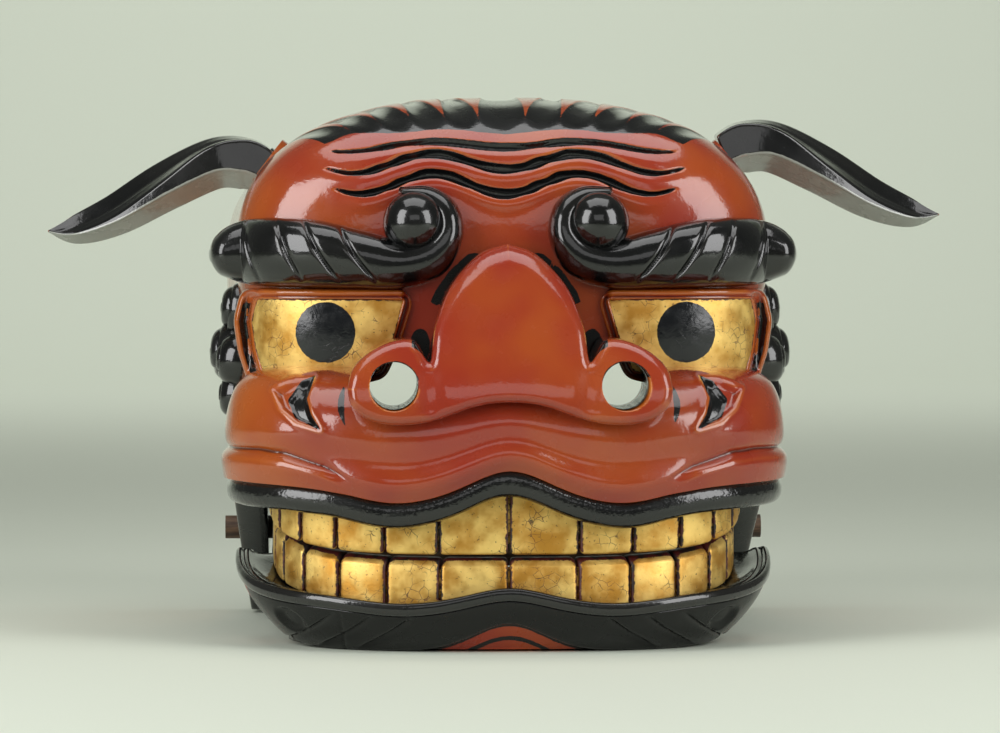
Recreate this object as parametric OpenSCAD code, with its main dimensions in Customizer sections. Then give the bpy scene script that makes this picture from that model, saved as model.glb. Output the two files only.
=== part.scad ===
// Lion-head dance mask of carved and lacquered wood. The jaw rests on the
// table, the head lifts on a wooden pivot rod, and the ears turn on tenons.
// +Z is up, the face looks along -Y, and the mask's own left side is +X.

/* [Head] */
// Width of the head across its rear edge
head_w = 300; // [250:5:360]
// Width of the face at the level of the brows
face_w = 286; // [238:2:344]
// Height of the crown above the table
head_h = 287; // [265:1:344]
// Height at which the walls turn into the dome
dome_z = 200; // [190:1:215]
// Depth from the front of the nose to the rear edge
depth = 288; // [250:1:346]
// Depth from the crown's highest line forward to the face
face_depth = 88; // [76:1:106]
// Depth from the crown's highest line back to the rear edge
back_depth = 130; // [110:1:156]
// How much lower the crown is at the rear edge
crown_drop = 8; // [0:1:16]
// Thickness of the carved wall
wall = 10; // [7:0.5:12]
// Lower edge of the carved shell
shell_z = 100; // [96:1:106]
// Thickness of the eye panels in front of the face
eye_thick = 4; // [3:0.5:6]
// Width of the frame round each eye
frame_w = 6; // [4:0.5:8]

/* [Muzzle and nose] */
// Half width of the muzzle at its rear ends
muzzle_x = 147; // [140:1:152]
// Distance from the front of the nose back to the front of the muzzle
muzzle_inset = 8; // [4:1:12]
// Height of the muzzle's upper edge, just under the eyes
muzzle_top = 146; // [140:1:150]
// Height of the muzzle's lower edge, before its wave
muzzle_low = 84; // [80:1:90]
// Height of the top of the nose
nose_top = 209; // [195:1:215]
// Half width of the nose across its wings
nose_half = 81; // [67:1:90]
// Lean of the front of the nose, in depth over height
nose_lean = 0.5; // [0.35:0.05:0.6]
// Height of the middle of the nostrils
nostril_z = 137; // [132:1:142]
// Distance from the middle of the nose to each nostril
nostril_x = 59; // [50:1:64]
// Radius of a nostril
nostril_r = 12.5; // [8:0.5:15]

/* [Mouth] */
// Height at which the upper and lower teeth meet in front
bite_z = 49; // [47:1:52]
// Rise of the bite from the front to the mouth's corners
bite_rise = 21; // [12:1:24]
// Gap between the upper and the lower teeth
bite_gap = 1.2; // [0.8:0.1:2]
// Thickness of a tooth
tooth_thick = 11; // [8:0.5:13]
// Depth of the groove between two teeth
tooth_groove = 3; // [2:0.5:5]
// Height of the upper lip's band
lip_h = 12; // [8:0.5:14]
// Height of the jaw's rim in front
rim_z = 29; // [26:1:32]
// Rise of the jaw's rim from the front to its rear corners
rim_rise = 18; // [12:1:20]
// Thickness of the jaw's rim
rim_thick = 7; // [5:0.5:9]

/* [Jaw and pivot] */
// Radius of the pivot rod
rod_r = 6.5; // [5:0.5:8]
// How far the rod stands out beyond each cheek
rod_out = 9; // [4:1:14]
// Height of the pivot rod's axis
pivot_z = 48; // [44:1:54]
// Distance from the pivot rod's axis to the rear edge
pivot_back = 22; // [18:1:26]
// Running clearance of the jaw on the rod, in radius
pivot_play = 0.05; // [0.05:0.01:0.1]
// Thickness of a cheek board at its lower end
cheek_thick = 10; // [7:0.5:12]
// Height of the cheek boards' lower ends above the table
cheek_lift = 2; // [1:0.5:4]
// Thickness of a jaw arm
arm_thick = 9; // [7:0.5:12]
// Gap between a jaw arm and its cheek board
arm_gap = 2.5; // [1.5:0.5:4]
// Radius of the two grip bars
grip_r = 9; // [7:0.5:10]
// Thickness of the jaw's floor board
floor_thick = 9; // [7:0.5:12]

/* [Ears] */
// How far an ear's tip stands out past the side of the head
ear_out = 93; // [70:1:120]
// Height of the ear tips
ear_tip_z = 221; // [205:1:235]
// Radius of an ear's tenon
tenon_r = 7; // [5:0.5:8]
// Clearance of the tenon in its boss, in radius
tenon_play = 0.05; // [0.05:0.01:0.1]
// Angle of the tenon above the horizontal
tenon_tilt = 37; // [30:1:45]

/* [Hidden] */

glue = 0.15;            // gap left at a glued seam
slack = 0.8;            // gap between pieces that turn against each other
rear_y = depth / 2;
nose_y = -depth / 2;
crown_y = rear_y - back_depth;
face_y = crown_y - face_depth;
plan_n = 4;             // squareness of the face seen from above
dome_n = 2.5;           // squareness of the dome seen from in front
waist = 0.035;          // share that the face narrows at the level of the eyes
waist_z = dome_z - 45;
back_taper = 0.093;     // share that the rear narrows from the dome to the table
pivot_y = rear_y - pivot_back;

// the mouth's U, seen from above
mouth_n = 2.6;
mouth_y = -50;                          // rear ends of the muzzle
muzzle_y = nose_y + muzzle_inset;
lip_in = 4;                             // set back of the lip from the muzzle
teeth_x = muzzle_x - 23;
teeth_y = muzzle_y + 15;
rim_x = muzzle_x - 5;
rim_y = muzzle_y + 1;
rim_end_y = -26;                        // rear corners of the jaw's rim
tooth_turns = [0, 0.13, 0.28, 0.45, 0.62, 0.775, 0.89, 1];

// the jaw
arm_out = head_w / 2 * (1 - back_taper) - cheek_thick - arm_gap;
arm_in = arm_out - arm_thick;
arm_end_r = rod_r + 10;
arm_front_y = -70;
arm_lift = 18;
arm_low_h = 24;
floor_end_y = rear_y - 54;
grip_y = floor_end_y - grip_r - 2;
grip_z = floor_thick + grip_r + 20;
blind = 5;                              // depth of a blind hole for a grip bar
head_grip_y = rear_y - 60;
head_grip_z = shell_z - 20;

// the ears
ear_y = 30;
ear_reach = head_w / 2 + ear_out;
ear_root_z = dome_z + 53;
boss_r = tenon_r + 7;
boss_len = wall + 12;
peg_r = 2.5;

vermilion = "#b23a22";
black = "#16171a";
gold = "#c9993f";
bare_wood = "#a07a4e";

// ---- curves shared by the pieces ----

function lerp(a, b, k) = a + (b - a) * k;
function clamp01(v) = min(1, max(0, v));
function soft(k) = k * k * (3 - 2 * k);
function spow(v, p) = sign(v) * pow(abs(v), p);
function bump(v, mid, width) = exp(-pow((v - mid) / width, 2));

// A smooth curve through a list of points, at k from 0 to 1
function through(p, k) =
    let (
        n = len(p) - 1,
        i = min(n - 1, floor(k * n)),
        f = k * n - i,
        a = p[max(0, i - 1)], b = p[i], c = p[i + 1], d = p[min(n, i + 2)]
    )
    b + 0.5 * f * ((c - a) + f * ((2 * a - 5 * b + 4 * c - d) + f * (3 * (b - c) + d - a)));

// Width of the rear of the head at height z, as a share of its full width
function rear_share(z) = 1 - back_taper * pow((dome_z - min(z, dome_z)) / dome_z, 2);

// The same from k = 0 at the face, with its waist, to k = 1 at the rear
function share(z, k) = lerp(1 - waist * bump(z, waist_z, 32), rear_share(z), k);

// A point of the head's outer surface, grown by o. c runs round the plan: -1 to
// 1 is the rounded front and on to 2 are the straight sides. v runs up: -1 to
// 0 is the wall above z = low, and 0 to 1 is the dome.
function head_point(c, v, o, low, extra) =
    let (
        k = clamp01(abs(c) - 1),
        turn = 90 * max(-1, min(1, c)),
        a = lerp(face_w, head_w, soft(k)) / 2 + o,
        h = head_h - dome_z - crown_drop * k * k + o,
        s = v <= 0 ? 1 : pow(max(0, cos(90 * v)), 2 / dome_n),
        z = v <= 0 ? dome_z + v * (dome_z - low) : dome_z + h * pow(sin(90 * v), 2 / dome_n),
        x = a * s * share(z, soft(k)) * spow(sin(turn), 2 / plan_n),
        y = abs(c) <= 1
            ? crown_y - (face_depth + o) * s * pow(max(0, cos(turn)), 2 / plan_n)
            : crown_y + k * (back_depth + extra)
    )
    [x, y, z];

// The depth of the face's surface at x and z
function face_at(x, z) =
    let (
        s = z <= dome_z ? 1 : pow(1 - pow((z - dome_z) / (head_h - dome_z), dome_n), 1 / dome_n),
        a = face_w / 2 * s * share(z, 0),
        q = min(0.95, abs(x) / a)
    )
    crown_y - face_depth * s * pow(1 - pow(q, plan_n), 1 / plan_n);

// The mouth's wave: high in the middle and low on each lobe of the lip
function wave(x) = 10 * bump(x, 0, 24) - 7 * bump(abs(x), 58, 30) + 3 * pow(x / muzzle_x, 2);

// A U-shaped path seen from above: t runs from -1 at its right end to 1 at its
// left end, a is its half width, and y0 and y1 are its rear ends and its front
function u_path(t, a, y0, y1) =
    [a * spow(sin(90 * t), 2 / mouth_n), y0 - (y0 - y1) * pow(max(0, cos(90 * t)), 2 / mouth_n)];

// Stations along the U: k points to a side, and their turns
function stations(k) = [for (i = [-k:k]) i / k];

// Height of the bite, and of the jaw's rim, along the U
function bite(t) = bite_z + bite_rise * pow(abs(t), 3);
function rim_height(t) = rim_z + rim_rise * pow(abs(t), 4)
    + 0.5 * (1 - t * t) * wave(u_path(t, rim_x, 0, 0)[0]);

// ---- solids built from rings of points ----

// Joins rings into one closed solid. Each ring goes down an outer face and
// back up an inner one, so the end faces are strips between the two.
module loft(rings) {
    n = len(rings[0]);
    m = len(rings);
    sides = [for (i = [0:m - 2], j = [0:n - 1]) let (k = (j + 1) % n)
        each [[i * n + j, (i + 1) * n + j, (i + 1) * n + k], [i * n + j, (i + 1) * n + k, i * n + k]]];
    first = [for (j = [0:n / 2 - 2])
        each [[j, j + 1, n - 2 - j], [j, n - 2 - j, n - 1 - j]]];
    last = [for (f = first) [for (i = [2, 1, 0]) (m - 1) * n + f[i]]];
    polyhedron([for (r = rings) each r], concat(sides, first, last), convexity = 8);
}

// A carved piece is one closed surface after all its cuts
module carved() {
    resize([0, 0, 0]) children();
}

// side is 1 for the mask's left and -1 for its right
module mirror_side(side) {
    mirror([side > 0 ? 0 : 1, 0, 0]) children();
}

// An outline in x and z, extruded along Y from y0 to y1
module along_y(y0, y1) {
    translate([0, y1, 0]) rotate([90, 0, 0]) linear_extrude(y1 - y0) children();
}

// An outline in y and z, extruded along X from x0 to x1
module along_x(x0, x1) {
    translate([x0, 0, 0]) rotate([90, 0, 90]) linear_extrude(x1 - x0) children();
}

// A round bar along X at y and z
module bar(r, y, z, x0, x1) {
    translate([x0, y, z]) rotate([0, 90, 0]) cylinder(r = r, h = x1 - x0, $fn = 48);
}

// The head as a filled block, grown by o, down to z = low
module head_block(o, low, extra = 0, columns = 18, rows = 9) {
    walls = 3;
    straight = 4;
    cs = concat(
        [for (i = [straight:-1:1]) -1 - i / straight],
        [for (i = [0:columns]) -1 + 2 * i / columns],
        [for (i = [1:straight]) 1 + i / straight]);
    vs = concat([for (i = [0:walls - 1]) -1 + i / walls], [for (i = [0:rows]) i / rows]);
    nc = len(cs);
    nv = len(vs);
    pts = concat(
        [for (c = cs) each [for (v = vs) head_point(c, v, o, low, extra)]],
        [[0, crown_y, low], [0, rear_y + extra, dome_z]]);
    low_mid = nc * nv;
    rear_mid = low_mid + 1;
    // the top row is one ridge line shared by both sides
    function id(i, j) = j < nv - 1 ? i * nv + j
        : (i <= straight ? i : (i >= nc - 1 - straight ? nc - 1 - i : straight)) * nv + j;
    quads = [for (i = [0:nc - 2], j = [0:nv - 2])
        each [[id(i, j), id(i + 1, j + 1), id(i + 1, j)], [id(i, j), id(i, j + 1), id(i + 1, j + 1)]]];
    bottom = [for (i = [0:nc - 2]) [id(i, 0), id(i + 1, 0), low_mid]];
    bottom_end = [[id(nc - 1, 0), id(0, 0), low_mid]];
    rear = [for (j = [0:nv - 2]) each [
        [id(0, j + 1), id(0, j), rear_mid],
        [id(nc - 1, j), id(nc - 1, j + 1), rear_mid]]];
    rear_end = [[id(0, 0), id(nc - 1, 0), rear_mid]];
    faces = [for (f = concat(quads, bottom, bottom_end, rear, rear_end))
        if (f[0] != f[1] && f[1] != f[2] && f[2] != f[0]) f];
    polyhedron(pts, faces, convexity = 6);
}

// ---- the head ----

module nostrils(r) {
    for (side = [-1, 1]) translate([side * nostril_x, 0, nostril_z])
        rotate([90, 0, 0]) cylinder(r = r, h = depth, $fn = 32);
}

module head_shell() {
    color(vermilion) carved() difference() {
        head_block(0, shell_z);
        head_block(-wall, shell_z - 20, extra = 10, columns = 14, rows = 8);
        nostrils(nostril_r);
        for (side = [-1, 1]) mirror_side(side) ear_frame()
            cylinder(r = boss_r + glue, h = 2 * (boss_len + 16), center = true);
    }
}

// A side board below the shell. Its outer face follows the head's narrowing,
// its inner face is flat, and its rear lower corner is an arc round the pivot.
module cheek_solid() {
    rows = 8;
    columns = 6;
    x_in = head_w / 2 * (1 - back_taper) - cheek_thick;
    sweep_r = pivot_z - cheek_lift;
    zs = [for (i = [0:rows]) lerp(shell_z - glue, cheek_lift, i / rows)];
    function front(z) = let (q = (shell_z - z) / (shell_z - cheek_lift))
        lerp(mouth_y + 8, pivot_y - 8, pow(q, 0.62));
    function rear(z) = z >= pivot_z ? rear_y
        : min(rear_y, pivot_y + sqrt(max(0, sweep_r * sweep_r - pow(pivot_z - z, 2))) + 2);
    loft([for (i = [0:columns]) concat(
        [for (z = zs) [head_w / 2 * rear_share(z), lerp(front(z), rear(z), i / columns), z]],
        [for (j = [rows:-1:0]) [x_in, lerp(front(zs[j]), rear(zs[j]), i / columns), zs[j]]])]);
}

module cheek(side) {
    x_in = head_w / 2 * (1 - back_taper) - cheek_thick;
    color(vermilion) mirror_side(side) difference() {
        cheek_solid();
        bar(rod_r, pivot_y, pivot_z, x_in - 10, head_w);
        bar(grip_r, head_grip_y, head_grip_z, x_in - 10, x_in + blind);
    }
}

// The muzzle as a block grown by o: a shelf out from the face, then a front wall
module muzzle_block(o, wave_on = 1) {
    shelf = [[0, 0], [0.34, 0.03], [0.66, 0.12], [0.88, 0.28], [1, 0.5], [0.985, 0.72], [1, 0.86], [0.96, 1]];
    inside = [[1, 1], [1, 0.66], [0.9, 0.42], [0.45, 0.36], [0, 0.34], [0, 0.3], [0, 0.2], [0, 0.1]];
    loft([for (t = stations(14))
        let (
            low = muzzle_low + wave(u_path(t, muzzle_x, 0, 0)[0]) - o,
            top = muzzle_top - 6 * pow(abs(t), 4) + o
        )
        concat(
            [for (p = shelf) let (u = u_path(t, lerp(face_w / 2 - 12, muzzle_x + o, p[0]),
                mouth_y + o, lerp(face_y + 4, muzzle_y - o, p[0])))
                [u[0], u[1], lerp(top, low, p[1])]],
            [for (p = inside) let (u = u_path(t, lerp(face_w / 2 - 14, teeth_x + glue - o, p[0]),
                mouth_y + o, lerp(face_y + 6, teeth_y - glue + o, p[0])))
                [u[0], u[1], lerp(top, low, p[1])]])]);
}

module muzzle() {
    color(vermilion) carved() difference() {
        muzzle_block(0);
        head_block(glue, shell_z - glue);
        nose_block(glue);
        nostrils(nostril_r);
    }
}

// Half of the nose's outline, from the middle of its top round to the middle of
// its lower edge: the bulb, the notch, the wing and the arch between the wings
function nose_points() = [
    [0, nose_top], [16, nose_top - 2], [29, nose_top - 12], [37, nose_top - 32], [42, nostril_z + 18],
    [53, nostril_z + 20], [nose_half - 12, nostril_z + 17], [nose_half - 1, nostril_z + 2],
    [nose_half - 5, nostril_z - 12], [nostril_x, nostril_z - 19], [40, nostril_z - 17],
    [20, nostril_z - 10], [0, nostril_z - 7]];

module nose_outline(o) {
    half = [for (i = [0:24]) through(nose_points(), i / 24)];
    offset(delta = o) polygon(concat(half, [for (i = [23:-1:1]) [-half[i][0], half[i][1]]]));
}

// The nose grown by o, leaning back as it rises, with its front edge rounded in steps
module nose_block(o) {
    steps = [[4, 0], [2, 1], [1, 2], [0.3, 3], [0, 4.5]];
    intersection() {
        multmatrix([[1, 0, 0, 0], [0, 1, nose_lean, nose_y - nose_lean * (nostril_z - 6)],
            [0, 0, 1, 0], [0, 0, 0, 1]])
            for (s = steps) along_y(s[1] - o, 90) nose_outline(o - s[0]);
        translate([-head_w, nose_y - o, 0]) cube([2 * head_w, crown_y - nose_y, 2 * head_h]);
    }
}

module nose() {
    color(vermilion) carved() difference() {
        nose_block(0);
        head_block(glue, shell_z - glue);
        nostrils(nostril_r);
    }
}

module upper_lip() {
    color(black) carved() difference() {
        loft([for (t = stations(14))
            let (
                top = muzzle_low + wave(u_path(t, muzzle_x, 0, 0)[0]) + 2,
                foot = top - 2 - lip_h,
                a = muzzle_x - lip_in,
                y = muzzle_y + lip_in,
                o1 = u_path(t, a, mouth_y, y),
                o2 = u_path(t, a + 2, mouth_y, y - 2),
                o3 = u_path(t, a - 3, mouth_y, y + 3),
                back = u_path(t, teeth_x + glue, mouth_y, teeth_y - glue)
            )
            [[o1[0], o1[1], top], [o2[0], o2[1], foot + lip_h / 2], [o3[0], o3[1], foot],
             [back[0], back[1], foot], [back[0], back[1], foot + lip_h / 2], [back[0], back[1], top]]]);
        muzzle_block(glue);
    }
}

// Stations of a row of teeth, as [turn, share of the groove's depth there]: flat
// over each tooth, with a groove at each of its ends
function tooth_marks() =
    let (e = 0.006)
    [for (i = [0:len(tooth_turns) - 2])
        let (a = tooth_turns[i], b = tooth_turns[i + 1])
        for (m = [[a + e, 0.6], [a + 2.5 * e, 0], [(a + b) / 2, 0], [b - 2.5 * e, 0], [b - e, 0.6], [b, 1]]) m];

function tooth_stations() =
    let (half = tooth_marks())
    concat([for (i = [len(half) - 1:-1:0]) [-half[i][0], half[i][1]]], [[0, 1]], half);

// A row of teeth carved in one curved board, from the bite to its root
module tooth_row(a, y0, y1, rise) {
    loft([for (s = tooth_stations())
        let (
            t = s[0],
            cut = tooth_groove * s[1],
            edge = bite(t) + (rise > 0 ? bite_gap / 2 : -bite_gap / 2) + rise * 2.5 * s[1],
            root = rise > 0 ? muzzle_low + wave(u_path(t, a, 0, 0)[0]) + 6 : rim_height(t) - 1,
            out = u_path(t, a - cut, y0, y1 + cut),
            back = u_path(t, a - tooth_thick, y0, y1 + tooth_thick),
            top = max(root, edge),
            foot = min(root, edge),
            middle = (top + foot) / 2
        )
        [[out[0], out[1], top], [out[0], out[1], middle], [out[0], out[1], foot],
         [back[0], back[1], foot], [back[0], back[1], middle], [back[0], back[1], top]]]);
}

module upper_teeth() {
    color(gold) carved() tooth_row(teeth_x, mouth_y, teeth_y, 1);
}

// Line of a brow in x and z with its half height: from the outer tip along the
// body, under the ball, up its inner side and over its top
function brow_points() =
    let (b = dome_z)
    [[154, b + 3, 4], [147, b + 5, 13], [130, b + 7, 18], [104, b + 4, 17], [78, b - 2, 14],
     [54, b - 7, 10], [35, b, 9], [26, b + 16, 8], [33, b + 31, 6], [47, b + 37, 5], [59, b + 32, 3]];

// A brow grown by o: a leaf-shaped bar that ends in a curl round a ball
module brow_block(o) {
    n = 40;
    sides = 12;
    p = brow_points();
    loft([for (i = [0:n])
        let (
            k = i / n,
            c = through(p, k),
            d = through(p, min(1, k + 0.01)) - through(p, max(0, k - 0.01)),
            len = norm([d[0], d[1]]),
            side = [d[1] / len, -d[0] / len],
            r = c[2] + o,
            proud = lerp(20, 12, soft(clamp01(k * 2 - 0.6))) * min(1, 0.35 + 6 * k) + o,
            y = face_at(c[0], c[1]) + 2
        )
        [for (j = [0:sides - 1]) let (w = 180 / sides + 360 * j / sides)
            [c[0] + side[0] * r * cos(w), y + proud * sin(w), c[1] + side[1] * r * cos(w)]]]);
    translate([47, face_at(47, dome_z + 19) - 1, dome_z + 19]) sphere(r = 13.5 + o, $fn = 24);
}

module brow(side) {
    color(black) carved() mirror_side(side) difference() {
        brow_block(0);
        head_block(glue, shell_z - glue);
        nose_block(glue);
    }
}

// Outline of an eye's gold panel in x and z, grown by o
module eye_outline(o) {
    offset(delta = o) polygon([
        [50, dome_z - 17], [130, dome_z - 17], [133, dome_z - 30], [131, dome_z - 46], [125, dome_z - 64],
        [100, dome_z - 64], [66, dome_z - 56], [60, dome_z - 42]]);
}

module eye(side) {
    color(gold) carved() mirror_side(side) difference() {
        intersection() {
            head_block(eye_thick, shell_z);
            along_y(nose_y, crown_y - 10) eye_outline(0);
        }
        head_block(glue, shell_z - glue);
        for (drop = [0, 8, 16]) translate([0, 0, -drop]) muzzle_block(glue);
        nose_block(glue);
        brow_block(glue);
    }
}

module eye_frame(side) {
    color(vermilion) carved() mirror_side(side) difference() {
        intersection() {
            head_block(eye_thick + 3, shell_z);
            along_y(nose_y, crown_y - 10) difference() {
                eye_outline(frame_w);
                eye_outline(glue);
            }
        }
        head_block(glue, shell_z - glue);
        for (drop = [0, 8, 16]) translate([0, 0, -drop]) muzzle_block(glue);
        nose_block(glue);
        brow_block(glue);
    }
}

// Overlapping lobes of hair behind the eye, each given by its middle in y and z
module side_curl(side) {
    lobes = [[2, 172, 15], [10, 150, 18], [-4, 146, 15], [4, 128, 13], [22, 166, 12]];
    color(black) carved() mirror_side(side) difference() {
        for (p = lobes) translate([140, p[0], p[1] + dome_z - 200])
            resize([38, 2 * p[2], 2.3 * p[2]]) sphere(r = p[2], $fn = 20);
        head_block(glue, shell_z - glue);
        muzzle_block(glue);
        brow_block(glue);
        along_y(nose_y, crown_y - 10 + glue) eye_outline(frame_w + glue);
    }
}

module pivot_rod() {
    half = head_w / 2 * rear_share(pivot_z) + rod_out;
    color(bare_wood) bar(rod_r, pivot_y, pivot_z, -half, half);
}

module head_grip() {
    half = head_w / 2 * (1 - back_taper) - cheek_thick + blind;
    color(bare_wood) bar(grip_r, head_grip_y, head_grip_z, -half, half);
}

// ---- the ears: +Z along the tenon, out of the head, with 0 at the shell ----

module ear_frame() {
    x = head_w / 2 * pow(1 - pow((ear_root_z - dome_z) / (head_h - dome_z), dome_n), 1 / dome_n) - 6;
    translate([x, ear_y, ear_root_z]) rotate([0, 90 - tenon_tilt, 0]) children();
}

module ear_boss(side) {
    color(bare_wood) mirror_side(side) ear_frame() translate([0, 0, -boss_len]) difference() {
        cylinder(r = boss_r, h = boss_len + 1, $fn = 48);
        translate([0, 0, -1]) cylinder(r = tenon_r + tenon_play, h = boss_len + 3, $fn = 48);
    }
}

module ear_tenon(side) {
    color(bare_wood) mirror_side(side) ear_frame() difference() {
        translate([0, 0, -boss_len - 14]) cylinder(r = tenon_r, h = boss_len + 14 + 16, $fn = 48);
        translate([-20, 0, -boss_len - 6]) rotate([0, 90, 0]) cylinder(r = peg_r, h = 40, $fn = 24);
    }
}

module ear_peg(side) {
    color(bare_wood) mirror_side(side) ear_frame()
        translate([-boss_r, 0, -boss_len - 6]) rotate([0, 90, 0]) cylinder(r = peg_r, h = 2 * boss_r, $fn = 24);
}

// Line of an ear in x, y and z, with its half height and half depth: up from
// the root over an arch, then out and down to the tip
function ear_points() =
    let (x = ear_reach, z = ear_tip_z)
    [[x - 114, ear_y, z + 36, 10, 14], [x - 104, ear_y + 1, z + 39, 12, 17], [x - 86, ear_y + 3, z + 37, 13, 20],
     [x - 62, ear_y + 5, z + 25, 12.5, 20], [x - 36, ear_y + 6, z + 11, 10, 16],
     [x - 14, ear_y + 6, z + 3, 6.5, 9], [x, ear_y + 5, z, 1.2, 2]];

module ear(side) {
    n = 22;
    sides = 12;
    color(black) carved() mirror_side(side) difference() {
        loft([for (i = [0:n])
            let (
                k = i / n,
                c = through(ear_points(), k),
                d = through(ear_points(), min(1, k + 0.01)) - through(ear_points(), max(0, k - 0.01)),
                len = norm([d[0], d[2]])
            )
            [for (j = [0:sides - 1]) let (w = 180 / sides + 360 * j / sides)
                [c[0] - d[2] / len * c[3] * sin(w), c[1] + c[4] * cos(w), c[2] + d[0] / len * c[3] * sin(w)]]]);
        ear_frame() {
            translate([0, 0, -60 + 1 + slack]) cylinder(r = 60, h = 60, $fn = 24);
            translate([0, 0, -60]) cylinder(r = tenon_r + glue, h = 60 + 16, $fn = 32);
        }
        head_block(slack, shell_z);
    }
}

// ---- the jaw ----

// Outer edge of the jaw's floor board, grown by o: round in front, straight behind
module floor_outline(o) {
    a = arm_in - glue;
    polygon(concat(
        [[a + o, floor_end_y + o]],
        [for (t = stations(12)) let (u = u_path(-t, a + o, rim_end_y, rim_y + 34 - o)) u],
        [[-a - o, floor_end_y + o]]));
}

module jaw_floor() {
    color(black) linear_extrude(floor_thick) floor_outline(0);
}

module arm_outline(o) {
    polygon([
        [arm_front_y - o, arm_lift - o], [arm_front_y + 130, -o], [pivot_y - 20, -o], [pivot_y + 4, pivot_z - arm_end_r + 0.5 - o],
        [pivot_y, pivot_z], [pivot_y - 8, pivot_z + arm_end_r * 0.86 + o],
        [rim_end_y + 8, arm_low_h + o], [arm_front_y - o, arm_low_h + o]]);
}

module jaw_arm(side) {
    color(black) mirror_side(side) difference() {
        along_x(arm_in, arm_out) union() {
            arm_outline(0);
            translate([pivot_y, pivot_z]) circle(r = arm_end_r, $fn = 64);
        }
        bar(rod_r + pivot_play, pivot_y, pivot_z, 0, head_w);
        bar(grip_r, grip_y, grip_z, arm_in - 10, arm_in + blind);
    }
}

module jaw_grip() {
    color(bare_wood) bar(grip_r, grip_y, grip_z, -arm_in - blind, arm_in + blind);
}

// The chin and the sides of the jaw: a U-shaped wall that leans in to its foot
module chin() {
    color(black) carved() difference() {
        loft([for (t = stations(16))
            let (
                top = rim_height(t) - rim_thick + 3,
                foot = 24 * pow(abs(t), 5),
                a = rim_x - 2,
                y = rim_y + 2,
                o1 = u_path(t, a, rim_end_y, y),
                o2 = u_path(t, a - 3, rim_end_y, y - 2),
                o3 = u_path(t, a - 8, rim_end_y, y + 6),
                o4 = u_path(t, a - 14, rim_end_y, y + 18),
                back = u_path(t, a - 34, rim_end_y, y + 40)
            )
            [[o1[0], o1[1], top], [o2[0], o2[1], lerp(top, foot, 0.3)], [o3[0], o3[1], lerp(top, foot, 0.75)],
             [o4[0], o4[1], foot], [back[0], back[1], foot], [back[0], back[1], lerp(foot, top, 0.3)],
             [back[0], back[1], lerp(foot, top, 0.7)], [back[0], back[1], top]]]);
        translate([0, 0, -glue]) rim_solid();
        translate([0, 0, -1]) linear_extrude(floor_thick + 1 + glue) floor_outline(glue);
        for (side = [-1, 1]) mirror_side(side) along_x(arm_in - glue, arm_out + glue) arm_outline(glue);
    }
}

// The rim: a plate that dips inside its raised edge and rises to the teeth
module rim_solid() {
    loft([for (t = stations(16))
        let (
            h = rim_height(t),
            m1 = u_path(t, rim_x - 8, rim_end_y, rim_y + 6),
            o1 = u_path(t, rim_x - 2.5, rim_end_y, rim_y + 2.5),
            o2 = u_path(t, rim_x, rim_end_y, rim_y),
            o3 = u_path(t, rim_x - 1, rim_end_y, rim_y + 1),
            i1 = u_path(t, teeth_x - tooth_thick - 2, rim_end_y, teeth_y + tooth_thick + 2),
            i2 = u_path(t, teeth_x, rim_end_y, teeth_y)
        )
        [[m1[0], m1[1], h - 2], [o1[0], o1[1], h], [o2[0], o2[1], h - 2], [o3[0], o3[1], h - rim_thick],
         [i1[0], i1[1], h - rim_thick], [i1[0], i1[1], h - 3], [i1[0], i1[1], h + 1],
         [i2[0], i2[1], h + 1]]]);
}

module jaw_rim() {
    color(black) carved() rim_solid();
}

module lower_teeth() {
    color(gold) carved() difference() {
        tooth_row(teeth_x - 2, rim_end_y - 6, teeth_y + 1, -1);
        translate([0, 0, glue]) rim_solid();
    }
}

head_shell();
cheek(1);  // cheek_left
cheek(-1);  // cheek_right
muzzle();
nose();
upper_lip();
upper_teeth();
brow(1);  // brow_left
brow(-1);  // brow_right
eye(1);  // eye_left
eye(-1);  // eye_right
eye_frame(1);  // eye_frame_left
eye_frame(-1);  // eye_frame_right
side_curl(1);  // side_curl_left
side_curl(-1);  // side_curl_right
pivot_rod();
head_grip();
ear_boss(1);  // ear_boss_left
ear_boss(-1);  // ear_boss_right
ear(1);  // ear_left
ear(-1);  // ear_right
ear_tenon(1);  // ear_tenon_left
ear_tenon(-1);  // ear_tenon_right
ear_peg(1);  // ear_peg_left
ear_peg(-1);  // ear_peg_right
jaw_rim();
lower_teeth();
chin();
jaw_floor();
jaw_arm(1);  // jaw_arm_left
jaw_arm(-1);  // jaw_arm_right
jaw_grip();
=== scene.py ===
"""Looks of a lacquered lion-dance head, laid out as an add-on and run as a script.

Shapes are worked out in millimetres, in the frame's own axes: +Z up, the face
looks along -Y, and +X is the head's own left side.
"""

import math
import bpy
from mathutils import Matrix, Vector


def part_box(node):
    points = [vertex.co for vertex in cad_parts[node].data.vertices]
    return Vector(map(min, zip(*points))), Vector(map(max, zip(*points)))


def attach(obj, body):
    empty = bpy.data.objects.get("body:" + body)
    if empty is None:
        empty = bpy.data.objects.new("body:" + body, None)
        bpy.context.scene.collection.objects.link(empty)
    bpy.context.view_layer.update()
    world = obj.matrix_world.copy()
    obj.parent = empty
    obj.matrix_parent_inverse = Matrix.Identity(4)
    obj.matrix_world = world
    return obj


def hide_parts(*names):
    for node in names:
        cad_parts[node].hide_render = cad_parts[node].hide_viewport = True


bl_info = {
    "name": "Lacquered Lion Head",
    "version": (1, 0, 0),
    "blender": (4, 5, 0),
    "location": "3D View > Sidebar > Lion Head",
    "description": "Carved, lacquered and gilded pieces of a lion-dance head",
    "category": "Add Mesh",
}

import bmesh
import bpy
import numpy as np
from mathutils import Vector

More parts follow.
